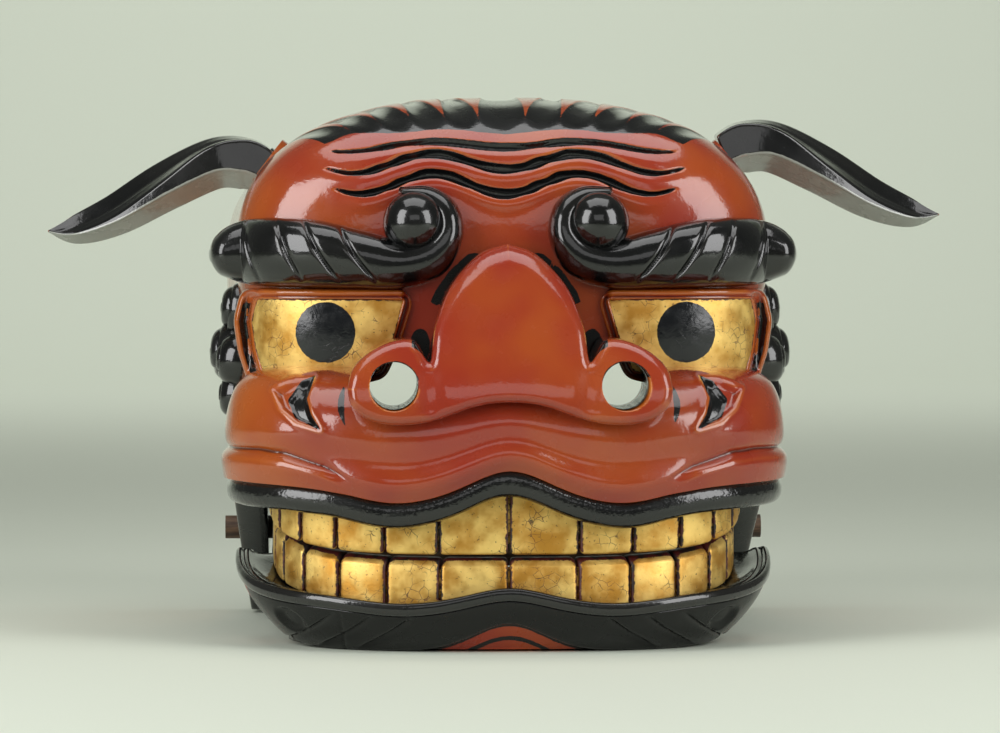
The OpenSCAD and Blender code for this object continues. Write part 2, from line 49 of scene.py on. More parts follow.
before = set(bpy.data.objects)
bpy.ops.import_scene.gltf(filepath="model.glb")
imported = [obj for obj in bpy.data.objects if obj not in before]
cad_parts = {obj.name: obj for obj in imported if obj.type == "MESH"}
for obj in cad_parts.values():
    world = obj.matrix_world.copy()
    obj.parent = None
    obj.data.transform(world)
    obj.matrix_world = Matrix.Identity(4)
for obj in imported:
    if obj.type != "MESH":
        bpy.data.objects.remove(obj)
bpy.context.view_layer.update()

MM = 0.001


def box_mm(node):
    """Lowest and highest corner of a CAD node, in millimetres."""
    low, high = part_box(node)
    return np.array(low) / MM, np.array(high) / MM


# ---- sizes read from the frame ----

SHELL_LOW, SHELL_HIGH = box_mm("head_shell")
MUZZLE_LOW, MUZZLE_HIGH = box_mm("muzzle")
LIP_LOW, LIP_HIGH = box_mm("upper_lip")
UPPER_LOW, UPPER_HIGH = box_mm("upper_teeth")
LOWER_LOW, LOWER_HIGH = box_mm("lower_teeth")
RIM_LOW, RIM_HIGH = box_mm("jaw_rim")
CHIN_LOW, CHIN_HIGH = box_mm("chin")
CHEEK_LOW, CHEEK_HIGH = box_mm("cheek_left")
ROD_LOW, ROD_HIGH = box_mm("pivot_rod")

HEAD_HALF = SHELL_HIGH[0]
FACE_HALF = HEAD_HALF * 143 / 150
CROWN_Z = SHELL_HIGH[2]
SHELL_Z = SHELL_LOW[2]
REAR_Y = SHELL_HIGH[1]
FACE_Y = SHELL_LOW[1]
CROWN_Y = FACE_Y + 88
DOME_Z = CROWN_Z - 87
WALL = 10.0
MOUTH_Y = MUZZLE_HIGH[1]
NOSTRIL_X, NOSTRIL_Z, NOSTRIL_R = 59.0, 137.0, 12.5
PIVOT_Y = (ROD_LOW[1] + ROD_HIGH[1]) / 2
PIVOT_Z = (ROD_LOW[2] + ROD_HIGH[2]) / 2
PLAN_N, DOME_N, MOUTH_N = 4.0, 2.5, 2.6
BITE_Z, BITE_RISE, BITE_GAP = 49.0, 21.0, 1.2
NOSE_FRONT = box_mm("nose")[0][1]

# Where the gaps between teeth lie along half of the mouth's U
TOOTH_TURNS = np.array([0, 0.13, 0.28, 0.45, 0.62, 0.775, 0.89, 1.0])
# A paint mask, which on some pieces also holds painted shade or a painted reflection, is this much plus the
# mm inside a painted edge, so a mesh without one reads as unpainted
INK_EDGE = 5.0
SIDE_NAME = {1: "left", -1: "right"}


# ---- curves ----

def lerp(a, b, k):
    """Straight mix of a and b."""
    return a + (b - a) * k


def step(low, high, value):
    """Smooth step: 0 below low, 1 above high, 3k^2 - 2k^3 between."""
    k = np.clip((value - low) / (high - low), 0, 1)
    return k * k * (3 - 2 * k)


def bump(value, middle, width):
    """Bell curve exp(-((v - middle) / width)^2)."""
    return np.exp(-(((value - middle) / width) ** 2))


def through(points, k):
    """Catmull-Rom curve through the rows of points, at k from 0 to 1, each row an even share."""
    points = np.asarray(points, float)
    last = len(points) - 1
    place = np.clip(np.asarray(k, float), 0, 1) * last
    i = np.minimum(place.astype(int), last - 1)
    f = (place - i)[..., None]
    a, b = points[np.maximum(i - 1, 0)], points[i]
    c, d = points[i + 1], points[np.minimum(i + 2, last)]
    return b + 0.5 * f * ((c - a) + f * ((2 * a - 5 * b + 4 * c - d) + f * (3 * (b - c) + d - a)))


def wobble(x, y, z, size, seed=0.0):
    """Smooth hand-made unevenness about -1 to 1: a sum of three crossed sine waves of that size in mm."""
    p = 2 * np.pi / size
    return (
        np.sin(p * (x + 0.31 * z) + seed) * np.cos(p * (0.83 * y - 0.4 * x) + 1.7 * seed)
        + np.sin(p * (0.67 * z + 0.58 * y) + 2.3 * seed + 1.1)
        + np.sin(p * (0.9 * x - 0.7 * y + 0.45 * z) + 0.6 * seed)
    ) / 3


def round_corner(turn, n):
    """Point of the unit superellipse |X|^n + |Y|^n = 1 in the direction turn, 0 along Y."""
    s, c = np.sin(turn), np.cos(turn)
    r = (np.abs(s) ** n + np.abs(c) ** n) ** (1 / n)
    return s / r, np.maximum(c, 0) / r


def wave(x):
    """The mouth's wave: high in the middle and low on each lobe of the lip."""
    return 10 * bump(x, 0, 24) - 7 * bump(np.abs(x), 58, 30) + 3 * (x / MUZZLE_HIGH[0]) ** 2


def u_path(t, half, rear, front):
    """The mouth's U from above: x = half sin^(2/n), y = rear - (rear - front) cos^(2/n)."""
    s, c = np.sin(np.pi / 2 * t), np.cos(np.pi / 2 * t)
    x = half * np.sign(s) * np.abs(s) ** (2 / MOUTH_N)
    return x, rear - (rear - front) * np.clip(c, 0, 1) ** (2 / MOUTH_N)


def bite(t):
    """Height of the line where the teeth meet: it rises with the cube of t."""
    return BITE_Z + BITE_RISE * np.abs(t) ** 3


def rim_height(t, half=RIM_HIGH[0]):
    """Height of the jaw's rim: it rises with the fourth power of t and half follows the lip's wave."""
    return 29 + 18 * np.abs(t) ** 4 + 0.5 * (1 - t * t) * wave(u_path(t, half, 0, 0)[0])


def share(z, k):
    """Width of the head at height z as a share of its full width: a waist in front, a taper behind."""
    front = 1 - 0.035 * bump(z, DOME_Z - 45, 32)
    rear = 1 - 0.093 * ((DOME_Z - np.minimum(z, DOME_Z)) / DOME_Z) ** 2
    return lerp(front, rear, k)


def head_point(c, v, o=0.0):
    """A point of the head, grown by o. c from -1 to 1 turns round the front as a superellipse and on to
    2 runs back along the sides; v from -1 to 0 climbs the wall and to 1 the superelliptic dome."""
    k = np.clip(np.abs(c) - 1, 0, 1)
    soft = step(0, 1, k)
    px, py = round_corner(np.pi / 2 * np.clip(c, -1, 1), PLAN_N)
    half = lerp(FACE_HALF, HEAD_HALF, soft) + o
    height = CROWN_Z - DOME_Z - 8 * k * k + o
    up, out = round_corner(np.pi / 2 * np.clip(v, 0, 1), DOME_N)
    s = np.where(v <= 0, 1, out)
    z = np.where(v <= 0, DOME_Z + v * (DOME_Z - SHELL_Z), DOME_Z + height * up)
    x = half * s * share(z, soft) * px
    y = np.where(np.abs(c) <= 1, CROWN_Y - (CROWN_Y - FACE_Y + o) * s * py,
                 CROWN_Y + k * (REAR_Y - CROWN_Y))
    return np.stack([x, y, z], -1)


def face_at(x, z):
    """Depth of the face's surface at x and z: head_point's superellipses solved for y."""
    rise = np.clip((z - DOME_Z) / (CROWN_Z - DOME_Z), 0, 0.99)
    s = (1 - rise ** DOME_N) ** (1 / DOME_N)
    q = np.clip(np.abs(x) / (FACE_HALF * s * share(z, 0)), 0, 0.97)
    return CROWN_Y - (CROWN_Y - FACE_Y) * s * (1 - q ** PLAN_N) ** (1 / PLAN_N)


# ---- meshes ----

def grid_normals(p, middle):
    """Unit normals of a grid of points, away from middle: the cross product of its two tangents."""
    n = np.cross(np.gradient(p, axis=0), np.gradient(p, axis=1))
    n /= np.maximum(np.linalg.norm(n, axis=-1, keepdims=True), 1e-9)
    return n * np.sign((n * (p - middle)).sum(-1, keepdims=True))


def grid_faces(nu, nv, loop_u, loop_v, start=0):
    """Quads between neighbouring points of an nu by nv grid."""
    i = np.arange(nu if loop_u else nu - 1)
    j = np.arange(nv if loop_v else nv - 1)
    i, j = np.meshgrid(i, j, indexing="ij")
    i2, j2 = (i + 1) % nu, (j + 1) % nv
    quads = np.stack([i * nv + j, i2 * nv + j, i2 * nv + j2, i * nv + j2], -1)
    return quads.reshape(-1, 4) + start


def end_faces(p):
    """A face for each open end of a tube whose rings are the rows of p."""
    nu, nv = p.shape[:2]
    return [[nv * i + j for j in range(nv)] for i in (0, nu - 1)]


def cap_ends(p, cap):
    """Adds to a tube of rings the rings that cap(ring, outward direction) gives at each end."""
    first = (p[0] - p[1]).mean(0)
    last = (p[-1] - p[-2]).mean(0)
    first, last = first / np.linalg.norm(first), last / np.linalg.norm(last)
    return np.concatenate([np.array(cap(p[0], first))[::-1], p, np.array(cap(p[-1], last))])


def pinch_ends(p, steps):
    """Closes a tube: by each step's (share shut, share out), the end rings fold onto the line half way
    between their first half and their second half, rounding outwards as they go."""
    def cap(ring, away):
        middle = (ring + ring[::-1]) / 2
        reach = 0.35 * np.linalg.norm(ring - ring[::-1], axis=-1, keepdims=True)
        return [lerp(ring, middle, shut) + away * reach * math.sin(math.pi / 2 * out) for shut, out in steps]
    return cap_ends(p, cap)


def close_ends(p, radius):
    """Flat ends with rounded edges for a tube of rings: each end ring draws in by radius (1 - cos a) while
    it moves out by radius sin a, then shuts onto its middle."""
    def cap(ring, away):
        middle = ring.mean(0)
        arm = ring - middle
        length = np.maximum(np.linalg.norm(arm, axis=-1, keepdims=True), 1e-6)
        away = away * radius
        rows = [middle + arm * np.maximum(1 - radius * (1 - math.cos(a)) / length, 0.02) + away * math.sin(a)
                for a in (math.pi / 6, math.pi / 3, math.pi / 2)]
        return rows + [middle + arm * 0.5 + away, middle + arm * 0 + away]
    return cap_ends(p, cap)


def build_mesh(name, patches, extra=()):
    """One smooth mesh from patches of (points in mm, loop_u, loop_v) and extra faces that join them, with
    doubles merged and faces outwards."""
    points, faces, start = [], [], 0
    for p, loop_u, loop_v in patches:
        nu, nv = p.shape[:2]
        points.append(p.reshape(-1, 3))
        faces.append(grid_faces(nu, nv, loop_u, loop_v, start))
        start += nu * nv
    mesh = bpy.data.meshes.new(name)
    mesh.from_pydata((np.concatenate(points) * MM).tolist(), [], np.concatenate(faces).tolist() + list(extra))
    bm = bmesh.new()
    bm.from_mesh(mesh)
    bmesh.ops.remove_doubles(bm, verts=bm.verts, dist=2e-5)
    bmesh.ops.dissolve_degenerate(bm, edges=bm.edges, dist=1e-6)
    bmesh.ops.recalc_face_normals(bm, faces=bm.faces)
    bm.to_mesh(mesh)
    bm.free()
    mesh.shade_smooth()
    obj = bpy.data.objects.new(name, mesh)
    bpy.context.scene.collection.objects.link(obj)
    return obj


def coords(obj):
    """Vertex positions of an object's mesh, in mm."""
    flat = np.zeros(len(obj.data.vertices) * 3)
    obj.data.vertices.foreach_get("co", flat)
    return flat.reshape(-1, 3) / MM


def store(obj, name, values):
    """Writes one number a vertex to a named attribute."""
    layer = obj.data.attributes.new(name, "FLOAT", "POINT")
    layer.data.foreach_set("value", np.asarray(values, np.float32))


def drill(obj, holes):
    """Cuts round holes through an object: each is a (start, end, radius) in mm."""
    for start, end, radius in holes:
        turn = np.linspace(0, 2 * np.pi, 64, endpoint=False)
        axis = np.array(end, float) - np.array(start, float)
        axis /= np.linalg.norm(axis)
        side = np.cross(axis, [0, 0, 1.0] if abs(axis[2]) < 0.9 else [1.0, 0, 0])
        side /= np.linalg.norm(side)
        up = np.cross(axis, side)
        ring = radius * (np.cos(turn)[:, None] * side + np.sin(turn)[:, None] * up)
        rings = [0 * ring + start, ring + start, ring + end, 0 * ring + end]
        cutter = build_mesh("cutter", [(np.array(rings), False, True)])
        cut = obj.modifiers.new("hole", "BOOLEAN")
        cut.operation = "DIFFERENCE"
        cut.solver = "EXACT"
        cut.object = cutter
        bpy.context.view_layer.update()
        shown = obj.evaluated_get(bpy.context.evaluated_depsgraph_get())
        mesh = bpy.data.meshes.new_from_object(shown)
        if len(mesh.vertices) == len(obj.data.vertices):
            raise RuntimeError(f"{obj.name} wasn't drilled")
        obj.modifiers.clear()
        old = obj.data
        obj.data = mesh
        bpy.data.meshes.remove(old)
        bpy.data.objects.remove(cutter)
    obj.data.name = obj.name


def nostrils(front, back):
    """The two nostrils as holes for drill, from one depth to another."""
    return [((x, front, NOSTRIL_Z), (x, back, NOSTRIL_Z), NOSTRIL_R) for x in (-NOSTRIL_X, NOSTRIL_X)]


def store_relief(obj, smooth=1, calm=None):
    """Attribute relief: how much each vertex stands out from its neighbours' mean, along its normal, in
    1/mm. Edges are above 0 and grooves below: edges are where lacquer thins, and grooves are where the
    finishes paint shade."""
    mesh = obj.data
    p = coords(obj)
    edges = np.zeros(len(mesh.edges) * 2, int)
    mesh.edges.foreach_get("vertices", edges)
    a, b = edges.reshape(-1, 2).T
    normal = np.zeros(len(p) * 3)
    mesh.vertex_normals.foreach_get("vector", normal)
    normal = normal.reshape(-1, 3)
    count = np.bincount(np.concatenate([a, b]), minlength=len(p)).astype(float)
    count = np.maximum(count, 1)
    def mean(values):
        total = np.zeros_like(values)
        np.add.at(total, a, values[b])
        np.add.at(total, b, values[a])
        return total / (count if values.ndim == 1 else count[:, None])
    length = np.linalg.norm(p[a] - p[b], axis=1)
    size = (np.bincount(a, length, len(p)) + np.bincount(b, length, len(p))) / count
    relief = -np.einsum("ij,ij->i", mean(p) - p, normal) / np.maximum(size, 0.05) ** 2
    relief = np.clip(relief, -2, 2)
    if calm is not None:
        relief = relief * calm(*p.T)
    for _ in range(smooth):
        relief = 0.5 * relief + 0.5 * mean(relief)
    store(obj, "relief", relief)


def finish_piece(obj, body, nodes, material, ink_and_painted_light=None, smooth=2, calm=None):
    """Paint mask, INK_EDGE plus the distance in mm inside a painted edge, then material, body and nodes. On
    some pieces the mask also holds painted shade or a painted reflection.
    """
    p = coords(obj)
    store(obj, "ink_and_painted_light", np.zeros(len(p)) if ink_and_painted_light is None else INK_EDGE + ink_and_painted_light(*p.T))
    store_relief(obj, smooth, calm)
    obj.data.materials.clear()
    obj.data.materials.append(material)
    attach(obj, body)
    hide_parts(*nodes)
    return obj


# ---- finishes ----

def linear(hex_colour):
    """sRGB hex to linear RGBA: c / 12.92 below 0.04045, else ((c + 0.055) / 1.055)^2.4."""
    values = [int(hex_colour[i:i + 2], 16) / 255 for i in (1, 3, 5)]
    return [c / 12.92 if c <= 0.04045 else ((c + 0.055) / 1.055) ** 2.4 for c in values] + [1.0]


def add(tree, kind, settings=None, **inputs):
    """Adds a node. settings are its properties; inputs are values or sockets, by socket name with _ for a
    space, or by i0, i1 ... for a socket's number."""
    made = tree.nodes.new(kind)
    for key, value in (settings or {}).items():
        setattr(made, key, value)
    for key, value in inputs.items():
        number = key[0] == "i" and key[1:].isdigit()
        socket = made.inputs[int(key[1:]) if number else key.replace("_", " ")]
        if isinstance(value, bpy.types.NodeSocket):
            tree.links.new(value, socket)
        else:
            socket.default_value = value
    return made


def new_material(name):
    """An empty node material with its tree, shader and output."""
    material = bpy.data.materials.new(name)
    material.use_nodes = True
    tree = material.node_tree
    tree.nodes.clear()
    shader = add(tree, "ShaderNodeBsdfPrincipled")
    add(tree, "ShaderNodeOutputMaterial", Surface=shader.outputs["BSDF"])
    return material, tree, shader


def attribute(tree, name):
    """The value of a vertex attribute, 0 where a mesh has none."""
    return add(tree, "ShaderNodeAttribute", {"attribute_name": name}).outputs["Fac"]


def noise(tree, place, size_mm, detail=3.0, rough=0.55):
    """Soft noise from 0 to 1 whose lumps are about size_mm across."""
    return add(tree, "ShaderNodeTexNoise", {"noise_dimensions": "3D"}, Vector=place, Scale=1 / (size_mm * MM),
               Detail=detail, Roughness=rough).outputs["Fac"]


def ramp(tree, value, low, high, to_low=0.0, to_high=1.0):
    """Smooth step of a value from low..high to to_low..to_high."""
    return add(tree, "ShaderNodeMapRange", {"interpolation_type": "SMOOTHSTEP"}, Value=value, From_Min=low,
               From_Max=high, To_Min=to_low, To_Max=to_high).outputs["Result"]


def maths(tree, operation, a, b=0.0, c=0.0):
    """One math operation on up to three values."""
    return add(tree, "ShaderNodeMath", {"operation": operation}, i0=a, i1=b, i2=c).outputs[0]


def mix(tree, amount, a, b):
    """Colour mix of a and b by amount."""
    return add(tree, "ShaderNodeMix", {"data_type": "RGBA"}, i0=amount, i6=a, i7=b).outputs[2]


def urushi(name, body, thin, deep, painted, wear, wear_amount, gloss=0.08, grain=0.00006, right_side_tint=0.0,
           coat=1.0):
    """Brushed and polished urushi lacquer over carved wood: a deep even colour under a clear gloss, thinner
    and lighter on edges, darker in cuts as painted shade, turning towards the thin colour on the head's right
    side (-X), with the faint waviness of a hand-polished surface. painted is the colour inside the paint
    masks,
    which on some pieces hold painted shade or a painted reflection, and wear is the colour on sharp edges:
    rubbed through, and on the black finish also a painted highlight."""
    material, tree, shader = new_material(name)
    place = add(tree, "ShaderNodeTexCoord").outputs["Object"]
    relief = attribute(tree, "relief")
    cloud = noise(tree, place, 55, 2.0)
    fine = noise(tree, place, 5, 3.0)
    tint = mix(tree, ramp(tree, cloud, 0.35, 0.7), body, mix(tree, 0.35, body, thin))
    sides = add(tree, "ShaderNodeSeparateXYZ", Vector=place).outputs[0]
    drift = maths(tree, "MULTIPLY_ADD", noise(tree, place, 80, 2.0), 0.12, sides)
    # Towards -X, the head's right side, the colour turns to the thin colour, by up to the given share.
    tint = mix(tree, ramp(tree, drift, 0.0, -0.1, 0.0, right_side_tint), tint, thin)
    edge = ramp(tree, relief, 0.015, 0.12)
    tint = mix(tree, maths(tree, "MULTIPLY", edge, 0.75), tint, thin)
    # Painted shade: cuts and grooves darken towards the deep colour.
    cut = ramp(tree, relief, -0.03, -0.2)
    tint = mix(tree, maths(tree, "MULTIPLY", cut, 0.8), tint, deep)
    ragged = maths(tree, "MULTIPLY_ADD", fine, 0.9, -0.45)
    ink_and_painted_light = ramp(tree, maths(tree, "ADD", attribute(tree, "ink_and_painted_light"), ragged), INK_EDGE - 0.12, INK_EDGE + 0.12)
    tint = mix(tree, ink_and_painted_light, tint, painted)
    # Sharp edges turn to the wear colour: rubbed-through lacquer, and on the black finish also a painted
    # highlight.
    rub = ramp(tree, maths(tree, "ADD", relief, maths(tree, "MULTIPLY_ADD", fine, 0.5, -0.25)), 0.3, 0.55)
    tint = mix(tree, maths(tree, "MULTIPLY", rub, wear_amount), tint, wear)
    tree.links.new(tint, shader.inputs["Base Color"])
    smear = noise(tree, place, 18, 4.0)
    tree.links.new(ramp(tree, smear, 0.3, 0.75, gloss + 0.1, gloss + 0.26), shader.inputs["Roughness"])
    shader.inputs["Specular IOR Level"].default_value = 0.2
    shader.inputs["Coat Weight"].default_value = coat
    shader.inputs["Coat Roughness"].default_value = gloss
    shader.inputs["Coat IOR"].default_value = 1.52
    waves = add(tree, "ShaderNodeBump", Strength=1.0, Distance=0.0006, Height=noise(tree, place, 26, 1.5))
    skin = add(tree, "ShaderNodeBump", Strength=1.0, Distance=grain, Height=noise(tree, place, 2.2, 2.0),
               Normal=waves.outputs[0])
    tree.links.new(skin.outputs[0], shader.inputs["Normal"])
    tree.links.new(skin.outputs[0], shader.inputs["Coat Normal"])
    return material


def gold_leaf(name):
    """Beaten gold leaf laid on red bole over lacquer: bright metal with soft sheen, crossed by fine cracks
    where the red shows, rubbed to red and black at edges, and speckled. The ink mask is painted black."""
    material, tree, shader = new_material(name)
    place = add(tree, "ShaderNodeTexCoord").outputs["Object"]
    cloud = noise(tree, place, 14, 3.0)
    gold = mix(tree, ramp(tree, cloud, 0.3, 0.7), colours().gold_dark, colours().gold_bright)
    bent = add(tree, "ShaderNodeVectorMath", {"operation": "MULTIPLY_ADD"},
               i0=add(tree, "ShaderNodeTexNoise", Vector=place, Scale=110.0, Detail=3.0).outputs["Color"],
               i1=(0.004, 0.004, 0.004), i2=place).outputs[0]
    crack = add(tree, "ShaderNodeTexVoronoi", {"feature": "DISTANCE_TO_EDGE"}, Vector=bent,
                Scale=210.0).outputs[0]
    patchy = ramp(tree, noise(tree, place, 16, 2.0), 0.5, 0.64)
    line = maths(tree, "MULTIPLY", ramp(tree, crack, 0.035, 0.015), patchy)
    speck = ramp(tree, noise(tree, place, 1.5, 2.0), 0.66, 0.72)
    ragged = maths(tree, "MULTIPLY_ADD", noise(tree, place, 2.6, 5.0, 0.7), 3.2, -1.6)
    rub = ramp(tree, maths(tree, "ADD", attribute(tree, "wear"), ragged), -0.25, 0.25)
    lost = maths(tree, "MAXIMUM", rub, maths(tree, "MULTIPLY", line, 0.8))
    bole = mix(tree, ramp(tree, noise(tree, place, 6, 2.0), 0.45, 0.6), linear("#4a1410"), linear("#1c0f0c"))
    colour = mix(tree, lost, gold, bole)
    colour = mix(tree, maths(tree, "MULTIPLY", speck, 0.7), colour, linear("#3a2412"))
    brushed = maths(tree, "MULTIPLY_ADD", noise(tree, place, 2.5, 3.0), 1.0, -0.5)
    ink_and_painted_light = ramp(tree, maths(tree, "ADD", attribute(tree, "ink_and_painted_light"), brushed), INK_EDGE - 0.15, INK_EDGE + 0.15)
    colour = mix(tree, ink_and_painted_light, colour, linear("#15171a"))
    tree.links.new(colour, shader.inputs["Base Color"])
    bare = maths(tree, "MAXIMUM", maths(tree, "MAXIMUM", lost, ink_and_painted_light), maths(tree, "MULTIPLY", speck, 0.6))
    tree.links.new(ramp(tree, bare, 0.0, 1.0, 0.7, 0.0), shader.inputs["Metallic"])
    satin = ramp(tree, noise(tree, place, 7, 4.0), 0.3, 0.7, 0.4, 0.58)
    tree.links.new(maths(tree, "MULTIPLY_ADD", ink_and_painted_light, -0.3, satin), shader.inputs["Roughness"])
    dents = add(tree, "ShaderNodeBump", Strength=1.0, Distance=0.00022, Height=noise(tree, place, 7, 4.0))
    flake = maths(tree, "SUBTRACT", noise(tree, place, 1.6, 3.0), maths(tree, "MULTIPLY", line, 0.6))
    flakes = add(tree, "ShaderNodeBump", Strength=1.0, Distance=0.00007, Height=flake,
                 Normal=dents.outputs[0])
    tree.links.new(flakes.outputs[0], shader.inputs["Normal"])
    return material


def handled_wood(name):
    """Turned cypress, unfinished but darkened by hands: close grain lines along X, a dull waxy sheen."""
    material, tree, shader = new_material(name)
    place = add(tree, "ShaderNodeTexCoord").outputs["Object"]
    along = add(tree, "ShaderNodeMapping", Vector=place, Scale=(0.12, 1.0, 1.0)).outputs[0]
    grain = noise(tree, along, 2.4, 4.0, 0.6)
    stain = noise(tree, place, 30, 3.0)
    colour = mix(tree, ramp(tree, grain, 0.35, 0.65), linear("#3d3025"), colours().wood)
    colour = mix(tree, ramp(tree, stain, 0.4, 0.7, 0.0, 0.6), colour, linear("#2c2118"))
    tree.links.new(colour, shader.inputs["Base Color"])
    tree.links.new(ramp(tree, grain, 0.3, 0.7, 0.42, 0.6), shader.inputs["Roughness"])
    pores = add(tree, "ShaderNodeBump", Strength=1.0, Distance=0.00012, Height=grain)
    tree.links.new(pores.outputs[0], shader.inputs["Normal"])
    return material


def backdrop_paper(name):
    """Matt grey-green studio paper: no gloss, the faintest tooth."""
    material, tree, shader = new_material(name)
    place = add(tree, "ShaderNodeTexCoord").outputs["Object"]
    tooth = noise(tree, place, 1.2, 2.0)
    tree.links.new(mix(tree, tooth, colours().paper, linear("#d0d6c8")), shader.inputs["Base Color"])
    shader.inputs["Roughness"].default_value = 0.9
    return material


FINISHES = {}


def finish(name):
    """The named finish, made once."""
    if name not in FINISHES:
        paint = colours()
        # The deep colours are painted shade in cuts; the darkest black is also the chin's black paint.
        black, red, thin, deep = paint.black, paint.red, paint.red_thin, paint.red_painted_shade
        black_thin, black_shade_and_chin_paint = linear("#1d1c1a"), linear("#050505")
        makers = {
            "red": lambda: urushi("vermilion_urushi", red, thin, deep, black,
                                  linear("#d98a3c"), 0.5, right_side_tint=0.8),
            # On the black lacquer the pale edge colour is partly wear and partly a painted highlight.
            "black": lambda: urushi("black_urushi", black, black_thin, black_shade_and_chin_paint, red,
                                    linear("#b9b596"), 0.7, gloss=0.07),
            "lip": lambda: urushi("black_urushi_crazed", black, black_thin, black_shade_and_chin_paint, red,
                                  linear("#6d5a3c"), 0.5, gloss=0.09, grain=0.00022),
            "chin": lambda: urushi("vermilion_urushi_under_black", red, thin, deep, black_shade_and_chin_paint,
                                   linear("#6d3a20"), 0.4, gloss=0.12, coat=0.45),
            # On the ears the pale grey paint is a painted reflection of the floor on the underside, and the
            # orange is wear.
            "ear": lambda: urushi("black_urushi_worn_tip_and_painted_reflection", black, black_thin, black_shade_and_chin_paint, linear("#8f928a"),
                                  linear("#a8562a"), 0.8),
            "gold": lambda: gold_leaf("gold_leaf_on_bole"),
            "wood": lambda: handled_wood("handled_cypress"),
        }
        FINISHES[name] = makers[name]()
    return FINISHES[name]


# ---- shared shapes ----

def ring_angles(n):
    """n angles round a circle, half a step off the axis, so that ring pairs j and n - 1 - j mirror."""
    return (np.arange(n) + 0.5) * 2 * np.pi / n


def line_distance(x, z, points):
    """Distance in a plane from (x, z) to a line through the points."""
    points = np.asarray(points, float)
    best = np.full(np.shape(x), 1e9)
    for a, b in zip(points[:-1], points[1:]):
        d = b - a
        k = np.clip(((x - a[0]) * d[0] + (z - a[1]) * d[1]) / (d @ d), 0, 1)
        best = np.minimum(best, np.hypot(x - a[0] - k * d[0], z - a[1] - k * d[1]))
    return best


def inside_distance(x, z, points):
    """Signed distance from (x, z) to the edge of a closed outline: above 0 inside."""
    points = np.asarray(points, float)
    closed = np.vstack([points, points[:1]])
    inside = np.zeros(np.shape(x), bool)
    for a, b in zip(closed[:-1], closed[1:]):
        crosses = (a[1] > z) != (b[1] > z)
        rise = b[1] - a[1] if b[1] != a[1] else 1e-9
        inside ^= crosses & (x < (b[0] - a[0]) * (z - a[1]) / rise + a[0])
    return np.where(inside, 1, -1) * line_distance(x, z, closed)


def even(points, n, closed=False):
    """n points spaced evenly along a polyline."""
    points = np.asarray(points, float)
    if closed:
        points = np.vstack([points, points[:1]])
    length = np.concatenate([[0], np.cumsum(np.linalg.norm(np.diff(points, axis=0), axis=1))])
    at = np.linspace(0, length[-1], n, endpoint=not closed)
    return np.stack([np.interp(at, length, points[:, i]) for i in range(points.shape[1])], -1)


def turn_of(x, y, half, rear, front):
    """The t of the mouth's U nearest in direction to (x, y)."""
    s = (np.abs(x) / half) ** (MOUTH_N / 2)
    c = (np.maximum(rear - y, 0) / (rear - front)) ** (MOUTH_N / 2)
    return np.sign(x) * np.arctan2(s, c) * 2 / np.pi


# ---- head shell ----

def wrinkle_heights(x):
    """The three forehead wrinkles as (height at x, half length): cosines of 76 mm that calm upwards."""
    wave_at = np.cos(2 * np.pi * x / 76)
    fall = 3 * step(50, 92, np.abs(x))
    return (240.3 - 5.3 * wave_at, 91.0, 2.5), (252 - 4 * wave_at - fall, 96.0, 2.5), (
        261 - 1.5 * wave_at - fall, 93.0, 1.9)


def wrinkle_depth(x, z):
    """Signed distance into the nearest wrinkle, above 0 in the groove, and its share of the half width."""
    best, share_in = np.full(np.shape(x), -50.0), np.zeros(np.shape(x))
    for middle, reach, width in wrinkle_heights(x):
        half = width * np.sqrt(np.maximum(1 - (x / reach) ** 2, 0)) * (1 + 0.15 * np.sin(x * 0.11 + middle))
        inside = half - np.abs(z - middle) - 1.2 * step(reach - 5, reach + 1, np.abs(x))
        share_in = np.where(inside > best, np.clip(inside / np.maximum(half, 0.3), 0, 1), share_in)
        best = np.maximum(best, inside)
    return best, share_in


# Edges of the locks of hair across the front of the crown
HAIR_EDGES = np.array([-96, -80, -64, -47, -30, -13, 11, 29, 46, 63, 80, 96.0])
# The ears' roots in mm, their axes in degrees above the horizontal, and the holes for their bosses
EAR_ROOT_Y, EAR_ROOT_Z, EAR_TILT = 30.0, 253.0, 37
BOSS_HOLE_R = 14.2


def hair_front(x):
    """Height of the front edge of the hair: a shallow bow that dips at the middle and falls to the sides."""
    return 266 + 3 * bump(np.abs(x), 31, 22) + 1.0 * bump(np.abs(x), 75, 16) - 6 * step(78, 100, np.abs(x))


def hair_field(x, y, z):
    """Signed distance into the hair and the place across the lock. The locks fan out towards the back, and
    the red gaps between them widen there in two steps."""
    spread = 1 + 0.0075 * (y + 45)
    g = x / spread
    i = np.clip(np.searchsorted(HAIR_EDGES, g) - 1, 0, len(HAIR_EDGES) - 2)
    left, right = HAIR_EDGES[i], HAIR_EDGES[i + 1]
    across = np.clip((g - left) / (right - left), 0, 1)
    side = np.minimum(g - left, right - g) * spread
    gap = 8 * step(-46, 16, y) + 8 * step(20, 62, y)
    inside = np.minimum(z - hair_front(x), side - gap)
    return np.minimum(inside, 97 - np.abs(g)), across


